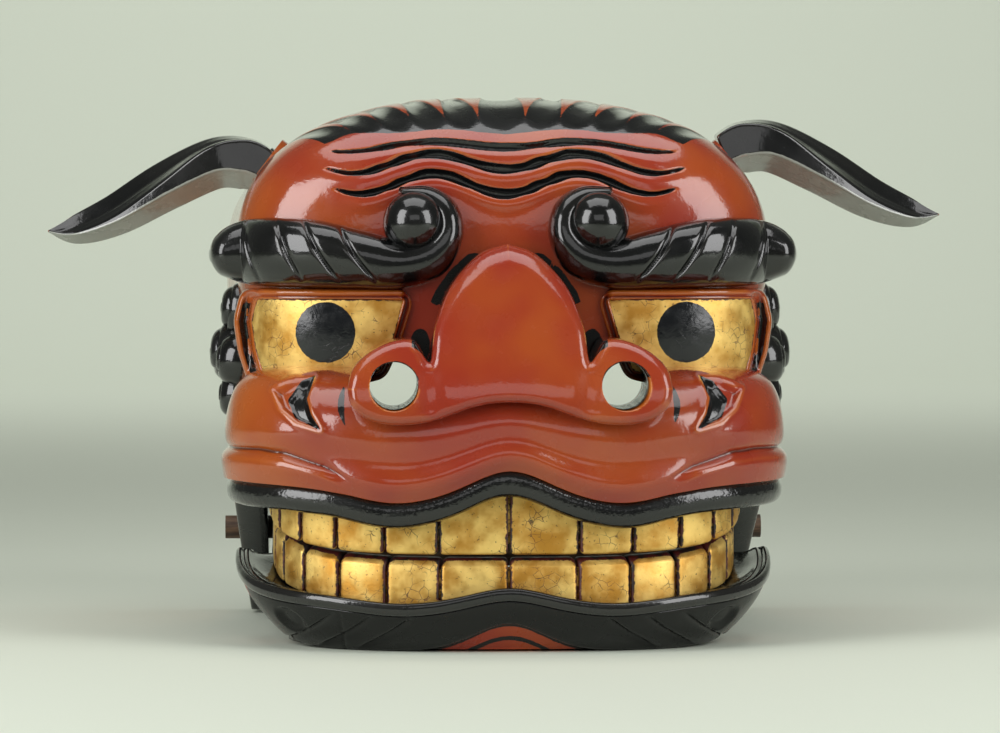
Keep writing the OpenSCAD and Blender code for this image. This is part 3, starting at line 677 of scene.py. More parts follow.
def build_head_shell():
    """Domed head in red lacquer, hollow and black within: the CAD's superellipse surface with three wavy
    grooves cut into the forehead and gouged locks of hair over the crown."""
    c = np.concatenate([np.linspace(-2, -1, 30)[:-1], np.linspace(-1, 1, 301), np.linspace(1, 2, 30)[1:]])
    v = np.concatenate([np.linspace(-1, 0, 20)[:-1], np.linspace(0, 0.2, 16)[:-1],
                        np.linspace(0.2, 0.57, 112)[:-1], np.linspace(0.57, 1, 62)])
    cc, vv = np.meshgrid(c, v, indexing="ij")
    p = head_point(cc, vv)
    n = grid_normals(p, [0, CROWN_Y, DOME_Z - 60])
    n = np.where(p[..., 2:] > CROWN_Z - 0.5, [0, 0, 1.0], n)
    x, y, z = p[..., 0], p[..., 1], p[..., 2]
    front = step(60, 20, y)
    groove, share_in = wrinkle_depth(x, z)
    out = -sizes().wrinkle_depth / MM * np.sqrt(share_in) * front
    for middle, reach, _ in wrinkle_heights(x):
        fade = step(reach + 10, reach - 40, np.abs(x)) * front
        out = out + 1.3 * bump(z, middle - 5.5, 3.4) * fade * step(1.4, -0.6, groove)
    hair, across = hair_field(x, y, z)
    flute = 0.6 - sizes().lock_depth / MM * np.sin(np.pi * across)
    out = out + flute * step(-1, 1.5, hair) * step(-1, 13, z - hair_front(x))
    out = out + 0.5 * wobble(x, y, z, 70, 0.7) * step(FACE_Y - 1, FACE_Y + 3, y)
    p = p + n * out[..., None]
    rows = np.append(np.arange(0, len(v) - 1, 5), len(v) - 1)
    q = head_point(cc[:, rows], vv[:, rows], -WALL)
    shell = hollow_mesh("head_shell_form", p, q, rows)
    holes = nostrils(FACE_Y - 20, FACE_Y + 60)
    for side in (-1, 1):
        root, axis = ear_axis(side)
        holes.append((root - 40 * axis, root + 30 * axis, BOSS_HOLE_R))
    drill(shell, holes)

    def ink_and_painted_light(x, y, z):
        groove = np.where(y < 40, wrinkle_depth(x, z)[0], -50)
        hair = hair_field(x, y, z)[0]
        # Painted shade: black where the face lies deep in the notch between the nose's bulb and wing, and in
        # a strip along the bulb's edge.
        notch = 4 - np.hypot((np.abs(x) - 45) / 1.4, (z - 156) / 2.2)
        beside = np.where((z > 178) & (z < 205), 3.5 - np.abs(np.abs(x) - nose_edge(z) - 2), -50)
        hollow = 100 * within_wall(x, y, z)
        outer = np.maximum(np.maximum(groove + 0.2, hair), np.where(y < 0, np.maximum(notch, beside), -50))
        return np.maximum(outer, hollow)
    return finish_piece(shell, "head", ["head_shell"], finish("red"), ink_and_painted_light)


def ear_axis(side):
    """Where an ear's tenon leaves the dome, in mm, and its direction."""
    tilt = math.radians(EAR_TILT)
    rise = (EAR_ROOT_Z - DOME_Z) / (CROWN_Z - DOME_Z)
    root = np.array([side * (HEAD_HALF * (1 - rise ** DOME_N) ** (1 / DOME_N) - 6), EAR_ROOT_Y, EAR_ROOT_Z])
    return root, np.array([side * math.cos(tilt), 0, math.sin(tilt)])


def within_wall(x, y, z):
    """Above 0 on the hollow side of the middle of the head's wall."""
    k = np.clip((y - CROWN_Y) / (REAR_Y - CROWN_Y), 0, 1)
    soft = step(0, 1, k)
    rise = np.clip((z - DOME_Z) / (CROWN_Z - DOME_Z - 8 * k * k - WALL / 2), 0, 1)
    s = np.maximum(1 - rise ** DOME_N, 1e-6) ** (1 / DOME_N)
    half = (lerp(FACE_HALF, HEAD_HALF, soft) - WALL / 2) * s * share(z, soft)
    reach = (CROWN_Y - FACE_Y - WALL / 2) * s
    return 1 - ((np.abs(x) / half) ** PLAN_N + (np.maximum(CROWN_Y - y, 0) / reach) ** PLAN_N) ** (1 / PLAN_N)


def hollow_mesh(name, p, q, rows):
    """One closed solid from an outer grid p and an inner grid q that has the outer's columns but only the
    given rows. Quads join them along the bottom, and polygons along the two rear edges."""
    nu, nv = p.shape[:2]
    few = len(rows)
    start = nu * nv
    extra = []
    for i in range(nu - 1):
        extra.append([i * nv, (i + 1) * nv, start + (i + 1) * few, start + i * few])
    for i in (0, nu - 1):
        for j in range(few - 1):
            outer = [i * nv + k for k in range(rows[j], rows[j + 1] + 1)]
            extra.append(outer + [start + i * few + j + 1, start + i * few + j])
    return build_mesh(name, [(p, False, False), (q, False, False)], extra)


# ---- nose ----

NOSE_TOP = [(0, 209), (13, 204.8), (24, 195), (32, 183.5), (38.2, 166), (41, 149.5), (48.5, 160), (60, 159.8),
            (72, 154), (80, 146), (82.8, 136)]
NOSE_LOW = [(0, 129), (9, 128.5), (19, 126.5), (28, 123.3), (37, 120.3), (46, 118.2), (55, 117.4), (64, 118),
            (73, 120.7), (80.6, 127), (82.8, 136)]


def nose_edge(z):
    """Half width of the nose's bulb at height z."""
    return np.interp(z, [149.5, 166, 183.5, 195, 204.8, 209], [41, 38.2, 32, 24, 13, 0])


def build_nose():
    """Broad nose in red lacquer: rings of a bulb-and-wings outline shrink onto a spine, the face leans back
    by half its height and crowns a little, and a rounded bevel turns it onto walls that run into the face."""
    w = np.concatenate([np.linspace(0, 0.42, 60)[:-1], np.linspace(0.42, 0.58, 40)[:-1],
                        np.linspace(0.58, 1, 61)])
    top, low = through(NOSE_TOP, w), through(NOSE_LOW, w)
    spine = np.stack([66 * w, lerp(142, 137, w)], -1)
    right = np.concatenate([top, low[::-1][1:]])
    right_in = np.concatenate([spine, spine[::-1][1:]])
    flip = np.array([-1, 1])
    edge = np.concatenate([right, (right * flip)[::-1][1:-1]])
    inner = np.concatenate([right_in, (right_in * flip)[::-1][1:-1]])
    turn = 5.0 + 5 * step(165, 207, edge[:, 1])

    def front(q):
        lean = NOSE_FRONT + 2 * np.log1p(np.exp((q[:, 1] - 134) / 4))
        lean -= 2.5 * bump(q[:, 0], 0, 26) * step(118, 160, q[:, 1])
        valley = 1.6 * bump(np.abs(q[:, 0]), 41 - 0.12 * (140 - q[:, 1]), 6)
        return lean + valley * step(118, 126, q[:, 1]) * step(152, 142, q[:, 1])

    outline = edge[::2]
    rings = []
    for f in np.concatenate([np.linspace(0, 0.7, 30), 0.7 + 0.3 * np.sin(np.linspace(0, np.pi / 2, 34)[1:])]):
        q = lerp(inner, edge, f)
        away = np.clip(1 - line_distance(q[:, 0], q[:, 1], np.vstack([outline, outline[:1]])) / turn, 0, 1)
        away = np.where(f > 0.999, 1, away)
        rings.append(np.stack([q[:, 0], front(q) + turn * (1 - np.sqrt(1 - away ** 2)), q[:, 1]], -1))
    start = rings[-1][:, 1]
    back = np.full(len(edge), FACE_Y - 2.0)
    for f in np.linspace(0, 1, 10)[1:]:
        rings.append(np.stack([edge[:, 0], lerp(start, back, f), edge[:, 1]], -1))
    for f in (0.5, 0.0):
        q = lerp(inner, edge, f)
        rings.append(np.stack([q[:, 0], back, q[:, 1]], -1))
    nose = build_mesh("nose_form", [(np.array(rings), False, True)])
    drill(nose, nostrils(NOSE_FRONT - 20, FACE_Y + 20))

    def ink_and_painted_light(x, y, z):
        tunnel = NOSTRIL_R + 0.5 - np.hypot(np.abs(x) - NOSTRIL_X, z - NOSTRIL_Z)
        tunnel = np.where(y > NOSE_FRONT + 4, tunnel, -5)
        # Painted shade: black on the walls deep in the notch between bulb and wing.
        notch = np.minimum(5 - np.abs(np.abs(x) - 45), (y - NOSE_FRONT - 12) * 0.5)
        notch = np.where((z > 149) & (z < 164), notch, -5)
        return np.maximum(tunnel, notch)

    def calm(x, y, z):
        return step(1.5, 5, np.hypot(np.maximum(np.abs(x) - 66, 0), z - lerp(142, 137, np.abs(x) / 66)))
    return finish_piece(nose, "head", ["nose"], finish("red"), ink_and_painted_light, 2, calm)


# ---- muzzle and lip ----

# The muzzle's section in front and behind, as (share of its reach, share of its drop)
PAD_SHELF = [(0, 0), (0.34, 0.03), (0.66, 0.12), (0.88, 0.28), (1, 0.5), (0.985, 0.72), (1, 0.86), (0.96, 1)]
MUZZLE_BACK = [(1, 1), (1, 0.9), (1, 0.78), (1, 0.66), (0.9, 0.42), (0.45, 0.36), (0, 0.34), (0, 0.25),
               (0, 0.1)]
# Lines on the muzzle as (distance from the middle, height)
CREASE = [(160, 103.5), (146, 103), (130, 103.5), (115, 102), (95, 96), (80, 88)]
SLOT_EDGE = [(99.5, 141), (110, 139.5), (120.5, 134), (116.5, 125), (109, 118.5), (97, 114.8), (101.5, 122),
             (103.7, 130)]
SLOT_INK = [(99.5, 141), (106, 138.3), (113, 129), (109.5, 120.6), (97, 114.8), (101.5, 122), (103.7, 130)]


def muzzle_low(x):
    """Height of the muzzle's lower edge: the mouth's wave about 84 mm."""
    return 84 + wave(x)


def build_muzzle():
    """Whisker pad in red lacquer: a rolled shelf swept round the mouth's U, from the face out to the lip,
    with a crease that sets off the lower roll, leaf-shaped slots and nostril tunnels."""
    t = np.linspace(-1, 1, 361)
    h = np.linspace(0, 1, 96)
    shelf = through(PAD_SHELF, h)
    tt, ww = np.meshgrid(t, shelf[:, 0], indexing="ij")
    drop = np.broadcast_to(shelf[:, 1], tt.shape)
    outer_half, outer_front = MUZZLE_HIGH[0], MUZZLE_LOW[1]
    x, y = u_path(tt, 1.0, 0.0, -1.0)
    half = lerp(FACE_HALF - 12, outer_half, ww)
    reach = lerp(MOUTH_Y - FACE_Y - 4, MOUTH_Y - outer_front, ww)
    x, y = x * half, MOUTH_Y + y * reach
    top = MUZZLE_HIGH[2] + 0.5 - 6 * np.abs(tt) ** 4
    z = lerp(top, muzzle_low(x), drop)
    p = np.stack([x, y, z], -1)
    n = grid_normals(p, [0, -40, 100])
    ax = np.abs(x)
    crease = line_distance(ax, z, CREASE)
    fade = step(78, 96, ax)
    below = step(0, 6, np.interp(ax, [80, 95, 115, 130, 160], [88, 96, 102, 103.5, 103.5]) - z)
    out = -3.0 * np.exp(-crease / 1.5) * fade + 1.8 * below * fade * step(30, 4, crease)
    out = out + 2.4 * bump(z, muzzle_low(x) + 9, 7) * step(96, 60, ax)
    slot = inside_distance(ax, z, SLOT_EDGE)
    deep = np.where(inside_distance(ax, z, SLOT_INK) > 0, 1.4, 1.0)
    out = out - 2.6 * deep * step(-0.4, 2.6, slot) * (y < -60) + 0.6 * bump(slot, -1.6, 1.5) * (y < -60)
    out = out + 0.45 * wobble(x, y, z, 60, 2.1)
    p = p + n * out[..., None]
    lowest = muzzle_low(u_path(t, UPPER_HIGH[0], 0, 0)[0])
    inside = []
    for w, up in MUZZLE_BACK:
        ix, iy = u_path(t, 1.0, 0.0, -1.0)
        ix = ix * lerp(FACE_HALF - 12, UPPER_HIGH[0], w)
        iy = MOUTH_Y + iy * lerp(MOUTH_Y - FACE_Y - 4, MOUTH_Y - UPPER_LOW[1], w)
        inside.append(np.stack([ix, iy, lerp(MUZZLE_HIGH[2] - 6 * np.abs(t) ** 4, lowest, up)], -1))
    p = np.concatenate([p, np.stack(inside, 1)], 1)
    muzzle = build_mesh("muzzle_form", [(p, False, True)], end_faces(p))
    drill(muzzle, nostrils(outer_front - 30, FACE_Y + 30))

    def ink_and_painted_light(x, y, z):
        ax = np.abs(x)
        slot_ink = inside_distance(ax, z, SLOT_INK) + 0.3
        # Painted shade: a black crescent hugging the outside of each nose wing.
        beside = 1.9 * np.maximum(1 - ((z - 127) / 11) ** 2, 0) - np.abs(ax - 86 + 0.02 * (z - 127) ** 2)
        front = np.where(y < -60, np.maximum(slot_ink, beside - 0.2), -50)
        tunnel = NOSTRIL_R + 0.5 - np.hypot(ax - NOSTRIL_X, z - NOSTRIL_Z)
        inner = (ax / (UPPER_HIGH[0] + 7)) ** MOUTH_N + (
            np.maximum(MOUTH_Y - y, 0) / (MOUTH_Y - UPPER_LOW[1] + 7)) ** MOUTH_N
        behind = np.where(z < 95, (1 - inner) * 50, -50)
        return np.maximum(np.maximum(front, tunnel), behind)
    return finish_piece(muzzle, "head", ["muzzle"], finish("red"), ink_and_painted_light)


def build_upper_lip():
    """Black lacquered lip: a rounded band 12 mm high swept along the waving edge of the muzzle."""
    t = np.linspace(-1, 1, 301)
    a = ring_angles(40)
    tt, aa = np.meshgrid(t, a, indexing="ij")
    out = 1 + 7.2 * np.sign(np.cos(aa)) * np.abs(np.cos(aa)) ** 0.75
    up = 7.0 * np.sign(np.sin(aa)) * np.abs(np.sin(aa)) ** 0.8
    x, y = u_path(tt, 1.0, 0.0, -1.0)
    x, y = x * (LIP_HIGH[0] - 7.5 + out), MOUTH_Y + y * (MOUTH_Y - LIP_LOW[1] - 7.5 + out)
    z = muzzle_low(x) - 6.3 + up + 0.4 * wobble(x, y, 0, 40, 1.0)
    lip = build_mesh("upper_lip_form", [(close_ends(np.stack([x, y, z], -1), 4), False, True)])
    return finish_piece(lip, "head", ["upper_lip"], finish("lip"))


# ---- teeth ----

def tooth_row(turns, half, front, rear, section, gap, rounding):
    """Patches for one row of teeth: each tooth is a tube along the mouth's U between two turns, less half a
    gap at each side, with the given section of (inward, height) at each t, and rounded ends."""
    patches = []
    both = np.concatenate([-turns[::-1], turns[1:]])
    for a, b in zip(both[:-1], both[1:]):
        t = np.linspace(a, b, 200)
        x, y = u_path(t, half, rear, front)
        length = np.concatenate([[0], np.cumsum(np.hypot(np.diff(x), np.diff(y)))])
        trim = gap / 2 + rounding
        at = np.linspace(trim, length[-1] - trim, 22)
        patches.append((close_ends(section(np.interp(at, length, t)), rounding), False, True))
    return patches


def jaw_path(t, half, front, rear, inward):
    """The mouth's U moved inward by some mm: both its half width and its front shrink."""
    x, y = u_path(t, 1.0, 0.0, -1.0)
    return x * (half - inward), rear + y * (rear - front - inward)


def block_ring(t, half, front, rear, profile):
    """Rings of points along t: profile is a list of (inward, height at each t) pairs."""
    ring = []
    for inward, height in profile:
        x, y = jaw_path(t, half, front, rear, inward)
        ring.append(np.stack([x, y, height + 0 * t], -1))
    return np.stack(ring, 1)


def corner_steps(points, radius, steps=4):
    """Rounds each corner of a closed outline of (inward, height) with a quadratic curve."""
    points = np.asarray(points, float)
    out = []
    for before, at, after in zip(np.roll(points, 1, 0), points, np.roll(points, -1, 0)):
        a, b = before - at, after - at
        la, lb = np.linalg.norm(a), np.linalg.norm(b)
        r = min(radius, 0.45 * la, 0.45 * lb)
        a, b = at + a / la * r, at + b / lb * r
        for k in np.linspace(0, 1, steps):
            out.append((1 - k) ** 2 * a + 2 * k * (1 - k) * at + k * k * b)
    return np.array(out)


def groove_wear(x, y, half, front, rear):
    """Distance in mm from a point on a row of teeth to the nearest gap between two of them."""
    gx, gy = u_path(np.concatenate([-TOOTH_TURNS[::-1], TOOTH_TURNS[1:]]), half, rear, front)
    return np.min(np.hypot(x[:, None] - gx, y[:, None] - gy), axis=1)


def build_teeth(name, half, front, rear, low, high, chamfer, bed_lift):
    """A row of gilded teeth: blocks with worn, rounded edges on a dark red bed that shows between them."""
    def section(t):
        bottom, top = low(t), high(t)
        block = [(0.4, 0), (0, 2.5), (0, 10 - chamfer[1]), (chamfer[0], 10), (9.5, 10), (9.5, 0)]
        profile = [(inward, bottom + up if up < 5 else top + up - 10)
                   for inward, up in corner_steps(block, 1.6)]
        return block_ring(t, half, front, rear, profile)

    patches = tooth_row(TOOTH_TURNS, half, front, rear, section, 1.3, 2.2)
    t = np.linspace(-0.995, 0.995, 241)
    foot = low(t) + bed_lift
    bed = [(2.6, foot), (2.6, high(t) - 5), (8.5, high(t) - 5), (8.5, foot)]
    patches.append((close_ends(block_ring(t, half, front, rear, bed), 1), False, True))
    teeth = build_mesh(name + "_form", patches)
    p = coords(teeth)
    t = turn_of(p[:, 0], p[:, 1], half, rear, front)
    side = groove_wear(p[:, 0], p[:, 1], half, front, rear) - 0.9
    edge = np.minimum(p[:, 2] - low(t), high(t) - p[:, 2]) + 0.3
    px, py = u_path(t, half, rear, front)
    depth = np.hypot(p[:, 0] - px, p[:, 1] - py)
    wear = 0.75 - np.minimum(side, edge + 0.8)
    wear = np.maximum(wear, np.where(depth > 2.2, step(2.2, 5, depth) * 6 - 0.5, -9))
    store(teeth, "wear", wear)
    body = "jaw" if name == "lower_teeth" else "head"
    return finish_piece(teeth, body, [name], finish("gold"))


def build_upper_teeth():
    """The upper row hangs under the lip."""
    def low(t):
        return bite(t) + BITE_GAP

    def high(t):
        return muzzle_low(u_path(t, UPPER_HIGH[0], 0, 0)[0]) - 4
    return build_teeth("upper_teeth", UPPER_HIGH[0], UPPER_LOW[1], MOUTH_Y, low, high, (0.6, 1.6), 5.5)


def build_lower_teeth():
    """The lower row stands on the rim, with a sloping facet along its upper front edge."""
    def low(t):
        return rim_height(t, LOWER_HIGH[0]) - 3.5

    def high(t):
        return bite(t) - 0.5
    return build_teeth("lower_teeth", LOWER_HIGH[0], LOWER_LOW[1], LOWER_HIGH[1], low, high, (4.0, 4.5), 0.5)


# ---- jaw rim and chin ----

def build_jaw_rim():
    """Broad lower lip in black lacquer: a dished shelf round the jaw with two raised lines at its edge."""
    t = np.linspace(-1, 1, 361)
    edge = [(0, -3.2), (0.1, -1.6), (0.8, -0.3), (2.0, 0.3), (3.3, -0.1), (4.2, -1.1), (5.2, -1.0),
            (6.2, -0.3), (7.4, -0.5), (9, -1.6), (12, -2.7), (16, -3.2), (21, -3.4), (27, -3.3),
            (32, -3.4), (32.5, -4.2),
            (32, -5.5), (27, -6.6), (20, -7), (10, -7), (3, -6.8), (0.9, -6.2), (0.2, -5)]
    height = rim_height(t)
    ring = block_ring(t, RIM_HIGH[0], RIM_LOW[1], RIM_HIGH[1], [(i, height + up) for i, up in edge])
    rim = build_mesh("jaw_rim_form", [(close_ends(ring, 2.5), False, True)])
    return finish_piece(rim, "jaw", ["jaw_rim"], finish("black"))


def build_chin():
    """Front of the jaw under the rim: black lacquer over a convex board with a red arch cut into the foot,
    gouged strokes like short beard hair, a lens cut at each front corner and red at the cheeks."""
    t = np.linspace(-1, 1, 401)
    v = np.linspace(0, 1, 44)
    half, front, rear = CHIN_HIGH[0] + 1.5, CHIN_LOW[1] + 1.8, CHIN_HIGH[1]
    top = rim_height(t) - 6.6
    foot = 24 * np.abs(t) ** 5 + 0.2
    rows = []
    for k in v:
        inward = 12.5 * k ** 1.5 + 3.5 * k
        x, y = jaw_path(t, half, front, rear, inward)
        rows.append(np.stack([x, y, lerp(top, foot, k ** 0.9)], -1))
    for k in (0.0, 0.25, 0.5, 0.75, 1.0):
        x, y = jaw_path(t, half, front, rear, 24 + 12 * (1 - k))
        rows.append(np.stack([x, y, lerp(foot, top, k)], -1))
    p = np.stack(rows, 1)
    x, y, z = p[..., 0], p[..., 1], p[..., 2]
    ax = np.abs(x)
    outer = np.arange(p.shape[1]) < len(v)
    arch = arch_field(ax, z)
    cut = -1.2 * step(-0.6, 0.8, arch) - 0.6 * bump(arch, 0, 0.9)
    for k in range(3):
        stroke = (62 + 21 * k - (z - 10) * 1.5 + 0.03 * (z - 10) ** 2) - ax
        gouge = np.exp(-np.abs(stroke - 0.6) / (1.2 + 1.6 * (stroke > 0.6)))
        cut = cut - 2.4 * gouge * step(0, 5, z) * step(25, 14, z)
    lens = 1 - ((ax - 112) / 9) ** 2 - ((z - 15 - 0.5 * (ax - 112)) / 6) ** 2
    cut = cut - 2.6 * step(0, 0.8, lens) * (y < -60)
    seam = np.abs(x + 84 + 0.15 * z)
    cut = cut - 0.8 * np.exp(-seam / 0.45) * (y < -60)
    n = grid_normals(p, np.stack([0 * x, 0 * y - 30, z], -1))
    p = p + n * (cut * outer * step(0, 0.12, np.arange(p.shape[1]) / len(v)))[..., None]
    chin = build_mesh("chin_form", [(p, False, True)], end_faces(p))

    def ink_and_painted_light(x, y, z):
        ax = np.abs(x)
        line = 1.2 - np.abs(arch_field(ax, z) - 7)
        arch = np.minimum(arch_field(ax, z) - 0.6, -line)
        side = (y + 66) * 0.9
        stripe = 2.6 - np.abs(((y - 0.8 * z + 40) % 26) - 13)
        red = np.maximum(arch, np.minimum(side, -stripe))
        return -np.where(y > -130, red, arch)
    return finish_piece(chin, "jaw", ["chin"], finish("chin"), ink_and_painted_light)


def arch_field(ax, z):
    """Above 0 inside the low bell at the middle of the foot: 15.2 exp(-(x / 26)^2) - 0.6 mm high."""
    return 15.2 * np.exp(-(ax / 26) ** 2) - 0.6 - z


# ---- cheeks ----

def build_cheek(side):
    """Side board under the head: red outside, black within and on most of its front edge. The front edge
    falls back towards the pivot as a curve and the rear corner is an arc round the pivot rod."""
    low, high = CHEEK_LOW[2], SHELL_Z - 0.2
    sweep = PIVOT_Z - low
    z = np.linspace(high, low, 70)

    def front_at(z):
        fall = np.clip((SHELL_Z - z) / (SHELL_Z - low), 0, 1) ** 0.62
        return lerp(MOUTH_Y + 8, PIVOT_Y - 8, fall)
    front = front_at(z) + 2.5
    rear = np.where(z >= PIVOT_Z, REAR_Y, np.minimum(
        REAR_Y, PIVOT_Y + np.sqrt(np.maximum(sweep ** 2 - (PIVOT_Z - z) ** 2, 0)) + 2))
    outer = HEAD_HALF * share(z, 1)
    x_in = np.full(len(z), CHEEK_LOW[0])
    columns = []
    half = (outer - x_in) / 2
    for a in np.linspace(-np.pi / 2, np.pi / 2, 9):
        columns.append(np.stack([x_in + half + half * np.sin(a), front - 2.5 * np.cos(a), z], -1))
    for k in np.linspace(0, 1, 40)[1:]:
        columns.append(np.stack([outer, lerp(front, rear, k), z], -1))
    for k in np.linspace(1, 0, 12)[:-1]:
        columns.append(np.stack([x_in, lerp(front, rear, k), z], -1))
    p = np.stack(columns, 1)
    board = build_mesh("cheek_form_" + SIDE_NAME[side], [(p * [side, 1, 1], False, True)], end_faces(p))

    def ink_and_painted_light(x, y, z):
        inner = CHEEK_LOW[0] + 2.0 - np.abs(x)
        inner = np.where(y < front_at(z) + 3, CHEEK_HIGH[0] - 3 - np.abs(x), inner)
        return np.maximum(inner, np.where(z < 22, (22 - z) * 0.4, -5))
    return finish_piece(board, "head", ["cheek_" + SIDE_NAME[side]], finish("red"), ink_and_painted_light)


# ---- brows ----

# Line of a brow from its outer end to its curl: (distance from the middle, height, half width)
BROW_SPINE = [(155, 202.5, 3), (150, 203, 11), (134, 204.5, 17.3), (104, 204, 18), (78, 201, 15.5),
              (56, 198.5, 13), (40, 202.5, 12), (31, 214, 9), (32, 226, 7.5), (41, 234, 5.6),
              (54, 236.5, 2.4)]
BALL_X, BALL_Z = 48.0, 220.0
# The four gouges as (low end, high end)
LOCK_LINES = [((69.5, 191.5), (86, 217)), ((87.5, 190.5), (105, 220)), ((107, 191), (119, 221.5)),
              ((129, 191.5), (136, 217))]


def build_brow(side):
    """Black eyebrow: a leaf swept along a line that curls back round a ball at its inner end, cut by four
    slanting gouges into overlapping locks."""
    k = np.linspace(0, 1, 420)
    spine = through(BROW_SPINE, k)
    middle, half = spine[:, :2], np.maximum(spine[:, 2], 0.6)
    along = np.gradient(middle, axis=0)
    along /= np.linalg.norm(along, axis=1, keepdims=True)
    across = np.stack([-along[:, 1], along[:, 0]], -1)
    a = ring_angles(120)
    wide = np.sign(np.cos(a)) * np.abs(np.cos(a)) ** 0.9
    proud = lerp(19.0, 11.0, step(0.55, 1, k)) * step(-0.06, 0.13, k) ** 0.8
    rings = []
    for i, angle in enumerate(a):
        q = middle + across * (half * wide[i])[:, None]
        lift = np.where(np.sin(angle) > 0, proud * np.abs(np.sin(angle)) ** 0.85, -4 * np.abs(np.sin(angle)))
        rings.append(np.stack([q[:, 0], face_at(q[:, 0], q[:, 1]) - lift, q[:, 1]], -1))
    p = np.stack(rings, 1)
    cut = lock_cuts(p[..., 0], p[..., 2])
    front = np.clip(np.sin(a) * 1.8 - 0.25, 0, 1)[None, :]
    p[..., 1] -= cut * front * step(0.62, 0.5, k)[:, None]
    p[..., 1] -= 0.4 * wobble(p[..., 0], p[..., 1], p[..., 2], 34, 0.4) * front
    ua, va = np.meshgrid(np.linspace(0, 2 * np.pi, 72, endpoint=False), np.linspace(0, np.pi, 38),
                         indexing="ij")
    centre_y = face_at(BALL_X, BALL_Z) - 6.5
    radius = sizes().ball_radius / MM
    ball = np.stack([BALL_X + radius * np.sin(va) * np.cos(ua), centre_y - radius * np.cos(va) * 1.05,
                     BALL_Z + radius * np.sin(va) * np.sin(ua)], -1)
    tube = pinch_ends(p, ((0.4, 0.12), (0.8, 0.2), (1.0, 0.25)))
    brow = build_mesh("brow_form_" + SIDE_NAME[side], [(tube * [side, 1, 1], False, True),
                                                       (ball * [side, 1, 1], True, False)])
    return finish_piece(brow, "head", ["brow_" + SIDE_NAME[side]], finish("black"))


def lock_cuts(x, z):
    """Height of the brow's carving: each lock swells towards its outer edge and drops at a gouged line."""
    edges = []
    for low, high in LOCK_LINES:
        k = (z - low[1]) / (high[1] - low[1])
        edges.append(lerp(low[0], high[0], k) + 2.0 * (1 - (2 * np.clip(k, 0, 1) - 1) ** 2))
    total = np.zeros(np.shape(x))
    for i, at in enumerate(edges):
        beyond = edges[i + 1] - at if i + 1 < len(edges) else 18
        past = (x - at) / beyond
        total += np.where((past > 0) & (past < 1), 1.3 * (1 - past) * step(0, 0.06, past), 0)
        total -= (2.0 - 0.25 * i) * bump(x, at, 1.4)
    fade = step(186, 195, z) * step(228, 219, z)
    return total * fade


# ---- eyes ----

EYE_OUTLINE = [(53, 180), (130, 180), (133, 168), (131, 154), (125, 135), (100, 135), (66, 143), (59.5, 158)]
EYE_X, EYE_Z = 94.0, 163.0


def build_eye(side):
    """Gilded eye panel: rings shrink from the lids' outline to the pupil while the face swells by 7 mm, and
    the pupil is painted on in black."""
    edge = even(EYE_OUTLINE, 220, True)
    pupil = sizes().pupil_radius / MM
    rings = []
    centre = np.array([EYE_X, EYE_Z])
    for rho in np.concatenate([np.linspace(0, 0.94, 46), [0.965, 0.985, 1.0]]):
        q = centre + (edge - centre) * rho
        swell = 1 - ((q[:, 0] - EYE_X) / 50) ** 2 - ((q[:, 1] - EYE_Z) / 34) ** 2
        lift = 2.6 + 6.8 * np.maximum(swell, 0) ** 0.9
        rings.append(np.stack([q[:, 0], face_at(q[:, 0], q[:, 1]) - lift, q[:, 1]], -1))
    for rho, lift in ((1.0, 0.0), (1.0, -3.0), (0.5, -3.0), (0.0, -3.0)):
        q = centre + (edge - centre) * rho
        rings.append(np.stack([q[:, 0], face_at(q[:, 0], q[:, 1]) - lift, q[:, 1]], -1))
    eye = build_mesh("eye_form_" + SIDE_NAME[side], [(np.array(rings) * [side, 1, 1], False, True)])

    def ink_and_painted_light(x, y, z):
        return pupil - np.hypot(np.abs(x) - EYE_X, (z - EYE_Z) / 1.02)
    p = coords(eye)
    store(eye, "wear", 0.4 - inside_distance(np.abs(p[:, 0]), p[:, 2], EYE_OUTLINE))
    return finish_piece(eye, "head", ["eye_" + SIDE_NAME[side]], finish("gold"), ink_and_painted_light)


# Section of the outer lid: (distance outside the gold, height above the face)
FRAME_STEPS = [(-1.2, -2), (-1.0, 3.2), (-0.4, 4.6), (0.6, 5.6), (1.7, 5.4), (2.5, 4.2), (3.2, 2.6),
               (4.2, 2.0), (6.0, 2.6), (7.6, 4.2), (8.6, 5.2), (9.8, 4.8), (10.8, 3.2), (11.4, 1.0),
               (11.6, -3)]


